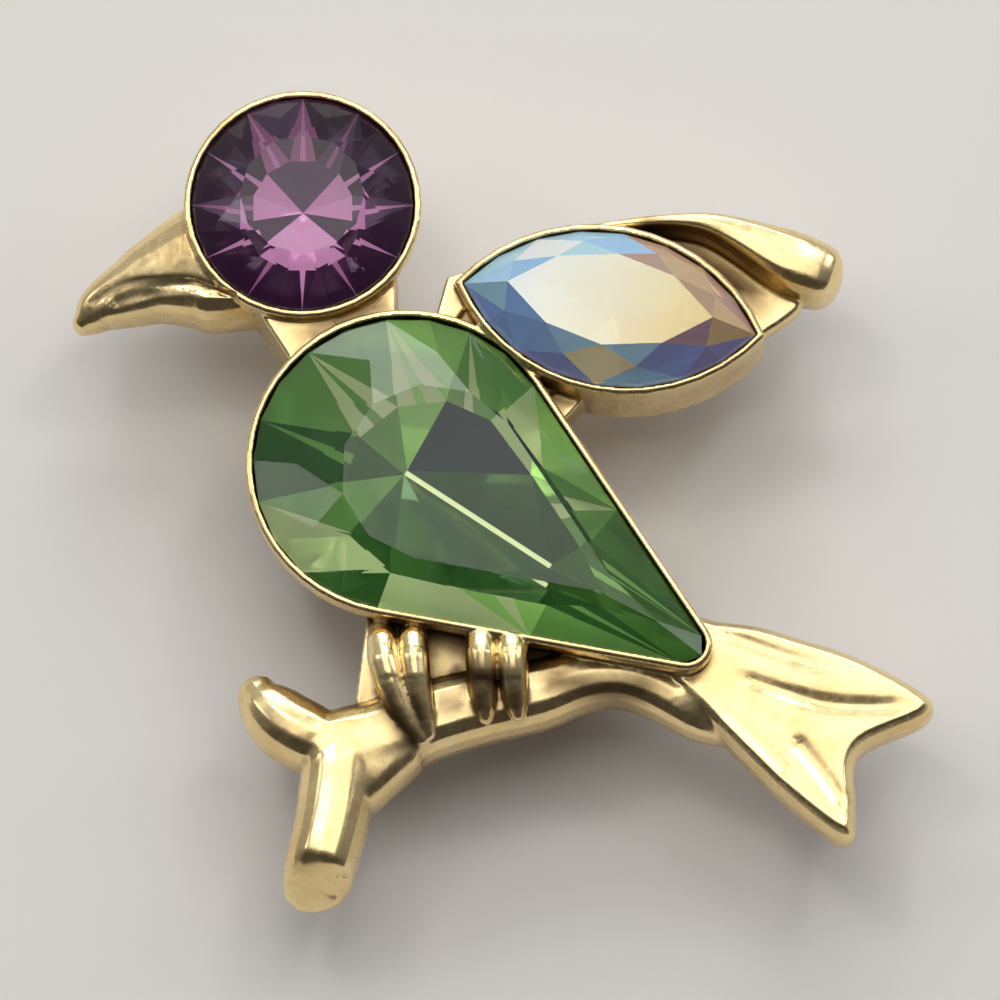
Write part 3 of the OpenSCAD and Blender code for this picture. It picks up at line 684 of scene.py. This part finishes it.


# Curves along which shade is painted into the deep recesses
PAINTED_SHADE_CURVES = [
    # knots in the plane of the brooch, width, painted shade's strength; beside the feather, round the feet,
    # on the neck
    ([(4.6, 9.6), (5.6, 9.35), (7.0, 8.75), (8.3, 7.9), (9.2, 6.95)], 0.75, 1.0),
    ([(-1.9, -6.0), (-0.9, -6.7), (0.2, -7.0)], 0.7, 0.9),
    ([(-2.2, -7.5), (-1.2, -7.6)], 0.5, 0.6),
    ([(-4.15, -7.35), (-3.5, -8.3), (-2.8, -9.2)], 0.42, 0.85),
    ([(-3.0, -7.3), (-2.6, -8.4)], 0.40, 0.85),
    ([(-0.75, -7.3), (-0.6, -7.9)], 0.42, 0.8),
    ([(0.5, -7.3), (0.55, -7.9)], 0.42, 0.8),
    ([(-4.8, -5.5), (-4.95, -7.9)], 0.35, 0.5),
    ([(1.3, -6.6), (3.2, -6.9), (5.6, -6.9)], 0.55, 0.75),
    ([(-6.9, 5.6), (-6.0, 6.0), (-4.6, 6.7), (-3.9, 7.2)], 0.6, 0.7),
]


def painted_shade_along_curves(points):
    """Painted shade in the deep places: bells along curves, the strongest one counts."""
    dark = np.zeros(len(points))
    for knots, width, strength in PAINTED_SHADE_CURVES:
        dark = np.maximum(dark, -groove_height(points[:, :2], knots, width, strength))
    return dark


# Spans over which a share rises from 0 to 1; the last three are in millimetres
OPEN_SKY = (0.12, 0.50)
LOOKS_UP = (0.0, 0.4)
CREASE = (0.3, 1.0)
RUBBED = (0.2, 1.0)
CLEAR_OF_GLASS = (0.18, 0.3)
ON_RIM = (0.2, 0.34)
RIM_HEIGHT = (5.5, 5.9)
# Painted shade in a crease and beside a rim; the value of plain metal and what rubbing adds to it
CREASE_PAINTED_SHADE = 0.55
RIM_PAINTED_SHADE = 0.34
PLAIN = 0.5
RUB = 0.3

normals = mesh_normals(skin)
edge = edge_of(skin_points, normals, skin_edges)
sky = sky_seen(skin_points, *height_map(skin_points))
# Painted shade where a point sees little sky, half as strong on walls
shade = average(1 - ramp(sky, *OPEN_SKY), skin_edges, passes=12)
shade *= 0.5 + 0.5 * ramp(normals[:, 2], *LOOKS_UP)
painted_rim_shade = RIM_PAINTED_SHADE * (1 - ramp(gap, *ON_RIM)) * ramp(skin_points[:, 2], *RIM_HEIGHT)
# Painted shade: the strongest of sky, crease, curve and rim shade; rubbed edges brighten as wear
painted_shade = np.maximum(shade, CREASE_PAINTED_SHADE * ramp(-edge, *CREASE))
painted_shade = np.maximum(painted_shade, painted_shade_along_curves(skin_points) * ramp(gap, *CLEAR_OF_GLASS))
painted_shade = np.maximum(painted_shade, painted_rim_shade)
painted_shade_and_wear = PLAIN + RUB * ramp(edge, *RUBBED) * (1 - painted_shade) - PLAIN * painted_shade
skin.attributes.new("painted_shade_and_wear", "FLOAT", "POINT").data.foreach_set("value", painted_shade_and_wear.astype(np.float32))
print("sky from", sky.min().round(2), "to", sky.max().round(2), "hollow points:", int((painted_shade > 0.5).sum()))


# %% [markdown]
# ## The finished casting
#
# A skin of one size of square spends most of its faces on flat places. So it is thinned out: edges that
# change the shape least are collapsed first. A tiny flake can be left over, which is taken away. Then the
# piece takes the place of the plain solid, and the hidden pin keeps its solid and gets a plain finish.

# %% Thin out and place
SKIN_LIMIT = 185000
FLAKE = 0.012


def thin_out(mesh, limit):
    """Collapses edges until about the given number of triangles is left."""
    work = bpy.data.objects.new("thin_work", mesh)
    bpy.context.scene.collection.objects.link(work)
    fewer = work.modifiers.new("fewer", "DECIMATE")
    fewer.ratio = min(1, limit / sum(len(p.vertices) - 2 for p in mesh.polygons))
    seen = work.evaluated_get(bpy.context.evaluated_depsgraph_get())
    thin = bpy.data.meshes.new_from_object(seen)
    bpy.data.objects.remove(work)
    return thin


def drop_flakes(mesh):
    """Deletes loose flakes: points whose edges are all shorter than the size of a flake."""
    points, edges = mesh_points(mesh), mesh_edges(mesh)
    spans = np.linalg.norm(points[edges[:, 0]] - points[edges[:, 1]], axis=1)
    loose = np.full(len(points), True)
    loose[edges[spans > FLAKE]] = False
    net = bmesh.new()
    net.from_mesh(mesh)
    bmesh.ops.delete(net, geom=[point for point in net.verts if loose[point.index]], context="VERTS")
    net.to_mesh(mesh)
    net.free()
    return int(loose.sum())


casting_mesh = thin_out(skin, SKIN_LIMIT)
casting_mesh.name = "casting"
print("loose points dropped:", drop_flakes(casting_mesh))
set_points(casting_mesh, mesh_points(casting_mesh) * MM)
casting_mesh.polygons.foreach_set("use_smooth", np.full(len(casting_mesh.polygons), True))
casting_mesh.materials.clear()
casting_mesh.materials.append(casting_gold)
casting = bpy.data.objects.new("casting", casting_mesh)
bpy.context.scene.collection.objects.link(casting)
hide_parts("bird_frame")
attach(casting, "root")
print("casting:", len(casting_mesh.polygons), "faces")

for slot in nodes["pin_back"].material_slots:
    slot.material = finding_gold


# %% [markdown]
# ## Glass over foil
#
# Stones like these are moulded and polished glass. Their lower facets carry a thin mirror foil, which
# throws the light back up through the coloured glass. Two meshes, one for the glass and one for the foil,
# would need a gap between them. One closed mesh shows both: the facets above the girdle are clear glass,
# and from the girdle down they are a tinted mirror that the rays meet from inside.

# %% Stone finishes
GLASS_INDEX = 1.5
FOIL_ROUGHNESS = 0.06


def stone_glass(name, tint, coat=0.0, cloudy=0.0):
    """Clear glass that tints what passes through it. A coated stone also mirrors a share of the light and
    takes its colour from the attribute named film; a cloudy one scatters a share."""
    material, tree, shader = new_material(name)
    shader.inputs["Base Color"].default_value = (*tint, 1)
    if coat:
        film = node(tree, "ShaderNodeAttribute", attribute_name="film").outputs["Color"]
        tree.links.new(film, shader.inputs["Base Color"])
        shader.inputs["Metallic"].default_value = coat
    shader.inputs["Transmission Weight"].default_value = 1 - cloudy
    shader.inputs["Roughness"].default_value = 0.0
    shader.inputs["IOR"].default_value = GLASS_INDEX
    return material


def stone_foil(name, mirror):
    """Foil whose tint is the attribute named foil, one colour for each facet: the stone's hue with a painted
    reflection. A share of it mirrors and the rest scatters, so that no facet goes black."""
    material, tree, shader = new_material(name)
    tint = node(tree, "ShaderNodeAttribute", attribute_name="foil").outputs["Color"]
    tree.links.new(tint, shader.inputs["Base Color"])
    shader.inputs["Metallic"].default_value = mirror
    shader.inputs["Roughness"].default_value = FOIL_ROUGHNESS
    return material


# %% [markdown]
# ## Facets of a stone
#
# A brilliant cut follows one rule for any outline, so one function cuts all three stones. The girdle, the
# widest line, has two points for each main facet. The table has one, drawn in towards the middle. Between
# them lies a ring of points at the odd girdle places. Kites join table, ring and girdle, and small
# triangles fill the rest. The lower side repeats the pattern down to one point, or to a short flat keel in
# a long stone. Each main facet of the lower side is parted into an outer and an inner one with a narrow
# streak between, because the round stone of the photo shows thin bright rays: the streaks get them as
# painted highlights in their foil colour.

# %% Brilliant cut
# Heights and widths in millimetres; the others are shares
CROWN_HEIGHT = 1.2
PAVILION_DEPTH = 2.3
GIRDLE_THICKNESS = 0.12
KEEL_HALF_WIDTH = 0.09
CROWN_BREAK = 0.56
PAVILION_BREAK = 0.86
STREAK_SHARE = 0.22
KEEL_MIDDLE = 0.45
TABLE, STAR, KITE, RIM, GIRDLE, HALF, OUTER, STREAK, INNER, KEEL, LINE = range(11)


def level(points, height):
    """Plane points at one height."""
    return np.column_stack([points, np.full(len(points), height)])


def shrink(points, middle, share):
    """Points drawn in towards a middle: middle + share * offset."""
    return middle + np.asarray(share) * (points - middle)


def brilliant(girdle, keel, table, reach):
    """Points and facets of a brilliant cut over a girdle outline, with the kind and the main facet's number
    of each. The outline lies round the point (0, 0), from where a keel of the given length runs along x. The
    lower facets end at its nearer end. Table and reach are shares of the outline."""
    n = len(girdle) // 2
    middle = np.array([KEEL_MIDDLE * keel, 0])
    even, odd = girdle[0::2], girdle[1::2]
    side = KEEL_HALF_WIDTH
    ends = np.array([[keel, side], [0, side], [0, -side], [keel, -side]] if keel else [[0, 0]], float)
    points = np.vstack([
        level(shrink(even, middle, table), CROWN_HEIGHT),
        level(shrink(odd, middle, (1 + np.asarray(table)) / 2), CROWN_HEIGHT * CROWN_BREAK),
        level(girdle, 0),
        level(girdle, -GIRDLE_THICKNESS),
        level(shrink(odd, middle, reach), -PAVILION_DEPTH * (1 - PAVILION_BREAK * reach)),
        level(ends, -PAVILION_DEPTH),
    ])
    # k numbers the main facets; mid, top, low, deep and tip are the first points of the rings
    k = np.arange(n)
    after, before = (k + 1) % n, (k - 1) % n
    mid, top, low, deep, tip = n, 2 * n, 4 * n, 6 * n, 7 * n
    left, right = tip + len(ends) + k, tip + len(ends) + n + k
    ring, ring_before = points[deep + k], points[deep + before]
    half = STREAK_SHARE / 2
    points = np.vstack([
        points,
        ring + (0.5 - half) * (ring_before - ring),
        ring + (0.5 + half) * (ring_before - ring),
    ])
    g, g1, g2 = 2 * k, 2 * k + 1, (2 * k + 2) % (2 * n)
    far, upper = even[:, 0] > keel / 2, even[:, 1] > 0
    end = tip + np.where(upper, np.where(far, 0, 1), np.where(far, 3, 2)) * (keel > 0)
    turned = end != end[after]
    groups = [
        (STAR, (k, mid + k, after)),
        (KITE, (k, mid + before, top + g, mid + k)),
        (RIM, (mid + k, top + g, top + g1)),
        (RIM, (mid + k, top + g1, top + g2)),
        (GIRDLE, (top + g, low + g, low + g1, top + g1)),
        (GIRDLE, (top + g1, low + g1, low + g2, top + g2)),
        (HALF, (deep + k, low + g1, low + g)),
        (HALF, (deep + k, low + g2, low + g1)),
        (OUTER, (deep + k, low + g, left)),
        (OUTER, (right, low + g, deep + before)),
        (STREAK, (left, low + g, right)),
        (INNER, (end, deep + k, left, right, deep + before)),
        (KEEL, (end, end[after], deep + k)),
    ]
    faces, kinds, numbers = [k.tolist()], [TABLE], [0]
    for kind, corners in groups:
        chosen = k[turned] if kind == KEEL else k
        faces += np.column_stack(corners)[chosen].tolist()
        kinds += [kind] * len(chosen)
        numbers += chosen.tolist()
    if keel:
        faces.append([tip + 3, tip + 2, tip + 1, tip])
        kinds.append(LINE)
        numbers.append(0)
    return points, faces, np.array(kinds), np.array(numbers)


# %% [markdown]
# ## Three outlines
#
# The three stones differ only in their outlines. Tracing them from a picture would bring in its blur, so
# each is made of circles, as the solid stones are: one circle, the overlap of two, and a large and a small
# one with straight sides between.

# %% Outlines of the three stones
SIDE_SHARES = np.array([[0.25], [0.5], [0.75]])
BOW_POINTS = 15


def round_outline(radius, count):
    """Points of a circle."""
    a = np.arange(count) * 2 * np.pi / count
    return radius * np.column_stack([np.cos(a), np.sin(a)])


def navette_outline(half_length, half_width, steps):
    """Two arcs of one radius that meet in points: the overlap of two discs."""
    radius = (half_length**2 + half_width**2) / (2 * half_width)
    drop = radius - half_width
    half = np.arccos(drop / radius)
    a = half * (1 - 2 * np.arange(steps) / steps)
    upper = np.column_stack([radius * np.sin(a), radius * np.cos(a) - drop])
    return np.vstack([upper, -upper])


def pear_outline():
    """A large arc, a small arc at the point and straight sides that touch both."""
    contact = np.degrees(np.arccos((BODY_RADIUS - TIP_RADIUS) / BODY_SPAN))
    tip = np.array([TIP_RADIUS * heading(a) + [BODY_SPAN, 0] for a in (-contact, 0, contact)])
    start, end = tip[-1], BODY_RADIUS * heading(contact)
    side = start + SIDE_SHARES * (end - start)
    bow = np.array([BODY_RADIUS * heading(a) for a in np.linspace(contact, 360 - contact, BOW_POINTS)])
    return np.vstack([tip, side, bow, side[::-1] * [1, -1]])


print("pear outline:", len(pear_outline()), "points")


# %% [markdown]
# ## A coating that shimmers
#
# The wing's stone has a coating thinner than a wave of light. Light from its front and from its back meet
# again: where the two ways differ by half a wave the colour is bright, by a whole wave it is lost. Colours
# could be picked for each facet, but a few thicknesses and one formula give hues that belong together. The
# film is thinnest on the table, which is white, yellow and peach, and each facet of the crown has its own
# thickness.

# %% Film colours
# Waves of red, green and blue light and all thicknesses in millionths of a millimetre
WAVES = np.array([610.0, 545.0, 455.0])
TABLE_FILM = 156
TABLE_FILM_GROWTH = np.array([9.5, -3.0])
CROWN_FILM_GROWTH = 1.5
TABLE_WHITE = 0.1
CROWN_WHITE = 0.26
FILM_THICKNESS = [
    # star, kite, rim; one row for each main facet of the wing's stone, from its right tip against the clock
    (228, 214, 236),
    (240, 220, 232),
    (366, 344, 358),
    (352, 132, 366),
    (330, 358, 318),
    (345, 326, 300),
    (346, 186, 336),
    (252, 300, 280),
]


def film_thickness(corners, kinds, numbers):
    """Thickness at the corners of facets: it grows along the table, and each crown facet has its own."""
    column = np.clip(kinds - STAR, 0, 2)
    rows = np.array(FILM_THICKNESS, float)
    crown = rows[numbers, column] + CROWN_FILM_GROWTH * corners[:, 0]
    return np.where(kinds == TABLE, TABLE_FILM + corners[:, :2] @ TABLE_FILM_GROWTH, crown)


def film_colour(thickness, white):
    """Colour of a film: half of one minus the cosine of four pi times the thickness over the wave, mixed
    with a share of white."""
    shine = 0.5 - 0.5 * np.cos(4 * np.pi * np.asarray(thickness, float)[:, None] / WAVES)
    white = np.reshape(white, (-1, 1))
    return white + (1 - white) * shine


print("film colours:", film_colour([150, 200, 240, 300, 340], CROWN_WHITE).round(2).tolist())


# %% [markdown]
# ## Which facets are bright?
#
# In a foil-backed stone some facets face a window and others the dark room. Which ones do depends on the
# room of the photo, and that can't be rebuilt. So each stone has a short table instead, which paints these
# reflections into the foil colours: for every main facet, counted round from the stone's own heading, it
# names the painted reflection of the two half facets at the girdle, of the outer main facet, of the narrow
# streak in its middle and of the inner main facet. The shades are names in a small palette.

# %% Palettes and shades
# Foil colours: each stone's hue, lighter or darker by the painted reflection of a facet
VIOLET = {
    "dark": (0.06, 0.015, 0.06),
    "grey": (0.17, 0.10, 0.19),
    "rose": (0.62, 0.25, 0.48),
    "pink": (1.00, 0.50, 0.84),
}
GREEN = {
    "dark": (0.05, 0.16, 0.045),
    "slate": (0.012, 0.045, 0.085),
    "deep": (0.12, 0.30, 0.07),
    "mid": (0.26, 0.52, 0.17),
    "soft": (0.54, 0.93, 0.33),
    "light": (0.94, 1.00, 0.70),
}
SILVER = {
    "white": (0.98, 0.98, 0.96),
    "yellow": (0.98, 0.90, 0.62),
    "tan": (0.80, 0.55, 0.32),
}
HEAD_SHADES = [
    # half, outer, streak, inner
    ("dark", "grey", "pink", "pink"),
    ("dark", "dark", "pink", "pink"),
    ("dark", "grey", "rose", "grey"),
    ("grey", "rose", "pink", "grey"),
    ("dark", "rose", "pink", "grey"),
    ("dark", "dark", "pink", "pink"),
    ("dark", "grey", "rose", "pink"),
    ("dark", "dark", "pink", "dark"),
    ("dark", "dark", "rose", "pink"),
    ("dark", "dark", "pink", "pink"),
    ("dark", "dark", "rose", "pink"),
    ("dark", "dark", "pink", "dark"),
]
BODY_SHADES = [
    # half, outer, streak, inner
    ("deep", "dark", "mid", "dark"),
    ("deep", "deep", "soft", "deep"),
    ("soft", "mid", "light", "dark"),
    ("mid", "light", "light", "slate"),
    ("soft", "mid", "light", "slate"),
    ("mid", "light", "soft", "soft"),
    ("mid", "light", "mid", "mid"),
    ("dark", "dark", "mid", "dark"),
    ("light", "mid", "mid", "mid"),
    ("dark", "light", "light", "dark"),
    ("light", "light", "light", "dark"),
    ("mid", "soft", "light", "dark"),
]
# In the wing's stone only the painted reflections of the inner facets vary, and that of the first streak
WING_INNER = ("tan", "white", "white", "yellow", "white", "yellow", "white", "tan")
WING_SHADES = [("white", "white", "white", inner) for inner in WING_INNER]
WING_SHADES[0] = ("white", "white", "tan", "tan")


def foil_colours_with_painted_reflections(kinds, numbers, palette, shades):
    """One colour for each facet, with its painted reflection: the shade that its kind and its main facet
    have in the table. The flat line along a keel has the palette's brightest shade, a painted highlight."""
    table = np.array([[palette[name] for name in row] for row in shades])
    column = np.clip(kinds - HALF, 0, 3)
    colours = table[numbers, column]
    colours[kinds == LINE] = max(palette.values(), key=sum)
    return np.column_stack([colours, np.ones(len(kinds))])


# %% [markdown]
# ## The stones in their cups
#
# Each stone is cut lying flat round the point (0, 0), then turned and lifted into its cup, where it takes
# the place of the plain solid stone. The round stone and the pear have one clear glass for the whole upper
# side. The pointed oval has a milky coated crown and a clearer table, so it has a third finish.

# %% Stones as pieces
PEAR_KEEL = 6.1
HEAD_POINTS = 24
WING_STEPS = 8


def place_stone(name, cut, at, turn, lift, finishes):
    """A cut stone turned into place. The finishes are those of the crown, of the foil and, if it has its
    own, of the table."""
    points, faces, kinds, _ = cut
    placed = np.column_stack([from_frame(points[:, :2], at, turn), points[:, 2] + GIRDLE_Z + lift])
    piece = new_piece(name, placed, faces, finishes[0], smooth=False)
    for finish in finishes[1:]:
        piece.data.materials.append(finish)
    table_finish = 2 if len(finishes) == 3 else 0
    finish_number = np.where(kinds >= GIRDLE, 1, np.where(kinds == TABLE, table_finish, 0))
    piece.data.polygons.foreach_set("material_index", finish_number.astype(np.int32))
    return piece


def add_foil(piece, cut, palette, shades):
    """Writes one foil colour for each facet, with its painted reflection."""
    _, _, kinds, numbers = cut
    colours = foil_colours_with_painted_reflections(kinds, numbers, palette, shades)
    foil = piece.data.attributes.new("foil", "FLOAT_COLOR", "FACE")
    foil.data.foreach_set("color", colours.ravel())


def add_film(piece, cut):
    """Writes one film colour for each corner of each facet, so that the colour can run across a facet."""
    points, faces, kinds, numbers = cut
    corners = np.concatenate([np.asarray(face) for face in faces])
    owner = np.repeat(np.arange(len(faces)), [len(face) for face in faces])
    thickness = film_thickness(points[corners], kinds[owner], numbers[owner])
    colours = np.ones((len(corners), 4))
    colours[:, :3] = film_colour(thickness, np.where(kinds[owner] == TABLE, TABLE_WHITE, CROWN_WHITE))
    film = piece.data.attributes.new("film", "FLOAT_COLOR", "CORNER")
    film.data.foreach_set("color", colours.ravel())


violet_foil = stone_foil("violet_foil", mirror=0.12)
green_foil = stone_foil("green_foil", mirror=0.28)
silver_foil = stone_foil("silver_foil", mirror=0.2)
violet_glass = stone_glass("violet_glass", (0.99, 0.88, 0.97))
green_glass = stone_glass("green_glass", (0.88, 0.97, 0.70))
aurora_glass = stone_glass("aurora_glass", (0.97, 0.97, 0.99), coat=0.10, cloudy=0.66)
aurora_table = stone_glass("aurora_table", (0.97, 0.97, 0.99), coat=0.34, cloudy=0.18)

head_cut = brilliant(round_outline(HEAD_RADIUS, HEAD_POINTS), keel=0, table=0.56, reach=0.46)
body_cut = brilliant(pear_outline(), keel=PEAR_KEEL, table=0.60, reach=0.58)
wing_outline = navette_outline(WING_HALF_LENGTH, WING_HALF_WIDTH, WING_STEPS)
wing_cut = brilliant(wing_outline, keel=0, table=(0.70, 0.60), reach=0.6)
wing_finishes = [aurora_glass, silver_foil, aurora_table]
head_gem = place_stone("head_gem", head_cut, HEAD_AT, 0, 0, [violet_glass, violet_foil])
body_gem = place_stone("body_gem", body_cut, BODY_AT, BODY_TURN, 0, [green_glass, green_foil])
wing_gem = place_stone("wing_gem", wing_cut, WING_AT, WING_TURN, WING_STEP, wing_finishes)
add_foil(head_gem, head_cut, VIOLET, HEAD_SHADES)
add_foil(body_gem, body_cut, GREEN, BODY_SHADES)
add_foil(wing_gem, wing_cut, SILVER, WING_SHADES)
add_film(wing_gem, wing_cut)
for gem, solid, slot_name in (
    (head_gem, "head_stone", "violet_glass"),
    (body_gem, "body_stone", "green_glass"),
    (wing_gem, "wing_stone", "aurora_glass"),
):
    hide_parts(solid)
    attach(gem, "root")
    print(gem.name, "has", len(gem.data.polygons), "facets")


# %% [markdown]
# ## A pale table
#
# The brooch lies on a plain pale table. A coloured one would show in the gold and in the glass, and would
# hide which colour belongs to the stones.

# %% Table
TABLE_HALF = 2000
floor_material, _, floor_shader = new_material("pale_table")
floor_shader.inputs["Base Color"].default_value = (0.80, 0.78, 0.75, 1)
floor_shader.inputs["Roughness"].default_value = 0.75
floor_corners = [(TABLE_HALF * x, TABLE_HALF * y, 0) for x, y in ((-1, -1), (1, -1), (1, 1), (-1, 1))]
floor = new_piece("table", floor_corners, [(0, 1, 2, 3)], floor_material)
print("table:", 2 * TABLE_HALF, "mm wide")


# %% [markdown]
# ## Light for metal and glass
#
# Jewellery needs contrast: bright soft lights to mirror, and a quiet dark room between them. Point lamps
# would give only hard dots. One large soft light hangs where the flat faces mirror it towards the camera,
# and a wide window behind the bird lights the upper edges and the inside of the stones. The side near the
# camera stays dark, which draws the dark bands on the round metal. Small lamps on the sides give sparkle.

# %% Lights
TARGET = Vector((0, -0.0004, 0.006))
DARK_SIDE = (0.055, 0.053, 0.052)
LIGHT_SIDE = (0.44, 0.44, 0.46)


def soft_light(name, azimuth, elevation, distance, width, height, radiance, colour):
    """A rectangular light that faces the brooch. Its power is radiance times pi times its area."""
    data = bpy.data.lights.new(name, "AREA")
    data.shape = "RECTANGLE"
    data.size = width
    data.size_y = height
    data.energy = radiance * np.pi * width * height
    data.color = colour
    light = bpy.data.objects.new(name, data)
    a, e = np.radians(azimuth), np.radians(elevation)
    away = Vector((np.sin(a) * np.cos(e), -np.cos(a) * np.cos(e), np.sin(e)))
    light.location = TARGET + distance * away
    light.rotation_mode = "QUATERNION"
    light.rotation_quaternion = away.to_track_quat("Z", "Y")
    light.visible_camera = False
    bpy.context.scene.collection.objects.link(light)


SOFT_LIGHTS = [
    # name, azimuth, elevation, distance, width, height, radiance, colour; degrees and metres
    ("overhead", 180, 76, 0.36, 0.34, 0.25, 1.55, (1.0, 0.97, 0.90)),
    ("back_window", 180, 34, 0.40, 0.32, 0.14, 4.0, (0.97, 0.98, 1.0)),
    ("left_window", 255, 36, 0.40, 0.10, 0.16, 2.2, (1.0, 0.98, 0.95)),
    ("right_window", 112, 34, 0.42, 0.10, 0.14, 2.6, (0.93, 0.97, 1.0)),
    ("left_lamp", 222, 58, 0.45, 0.07, 0.07, 9.0, (1.0, 0.97, 0.92)),
    ("right_lamp", 140, 52, 0.45, 0.07, 0.07, 9.0, (1.0, 0.98, 0.95)),
]
for row in SOFT_LIGHTS:
    soft_light(*row)
print("soft lights:", len(SOFT_LIGHTS))

world = bpy.data.worlds.new("room")
world.use_nodes = True
room = world.node_tree
side = node(room, "ShaderNodeSeparateXYZ")
room.links.new(node(room, "ShaderNodeTexCoord").outputs["Generated"], side.inputs["Vector"])
lit = spread(room, side.outputs["Y"], -0.5, 0.7, 0, 1)
room_colour = blend_colour(room, lit, DARK_SIDE, LIGHT_SIDE)
room.links.new(room_colour, room.nodes["Background"].inputs["Color"])
bpy.context.scene.world = world


# %% [markdown]
# ## The photo's point of view
#
# The rim of the round stone is a little flatter than a circle in the photo, so the camera looks 16 degrees
# off the face of the brooch, from below the bird. Close-ups of small things are taken from far away with a
# long lens, which keeps the shapes true: the lens is the sensor's width times distance over the width in
# view.

# %% Camera
CAMERA_ELEVATION = 74
CAMERA_DISTANCE = 0.42
FRAME_WIDTH = 0.03484
SENSOR_WIDTH = 36
camera_data = bpy.data.cameras.new("camera")
camera_data.sensor_width = SENSOR_WIDTH
camera_data.lens = SENSOR_WIDTH * CAMERA_DISTANCE / FRAME_WIDTH
camera_data.clip_start = 0.01
camera_data.clip_end = 20
camera = bpy.data.objects.new("camera", camera_data)
tilt = np.radians(CAMERA_ELEVATION)
back = Vector((0, -np.cos(tilt), np.sin(tilt)))
camera.location = TARGET + CAMERA_DISTANCE * back
camera.rotation_mode = "QUATERNION"
camera.rotation_quaternion = (-back).to_track_quat("-Z", "Y")
bpy.context.scene.collection.objects.link(camera)
bpy.context.scene.camera = camera
bpy.context.scene.view_settings.view_transform = "Standard"
bpy.context.scene.view_settings.look = "None"
print("lens:", round(camera_data.lens), "mm")
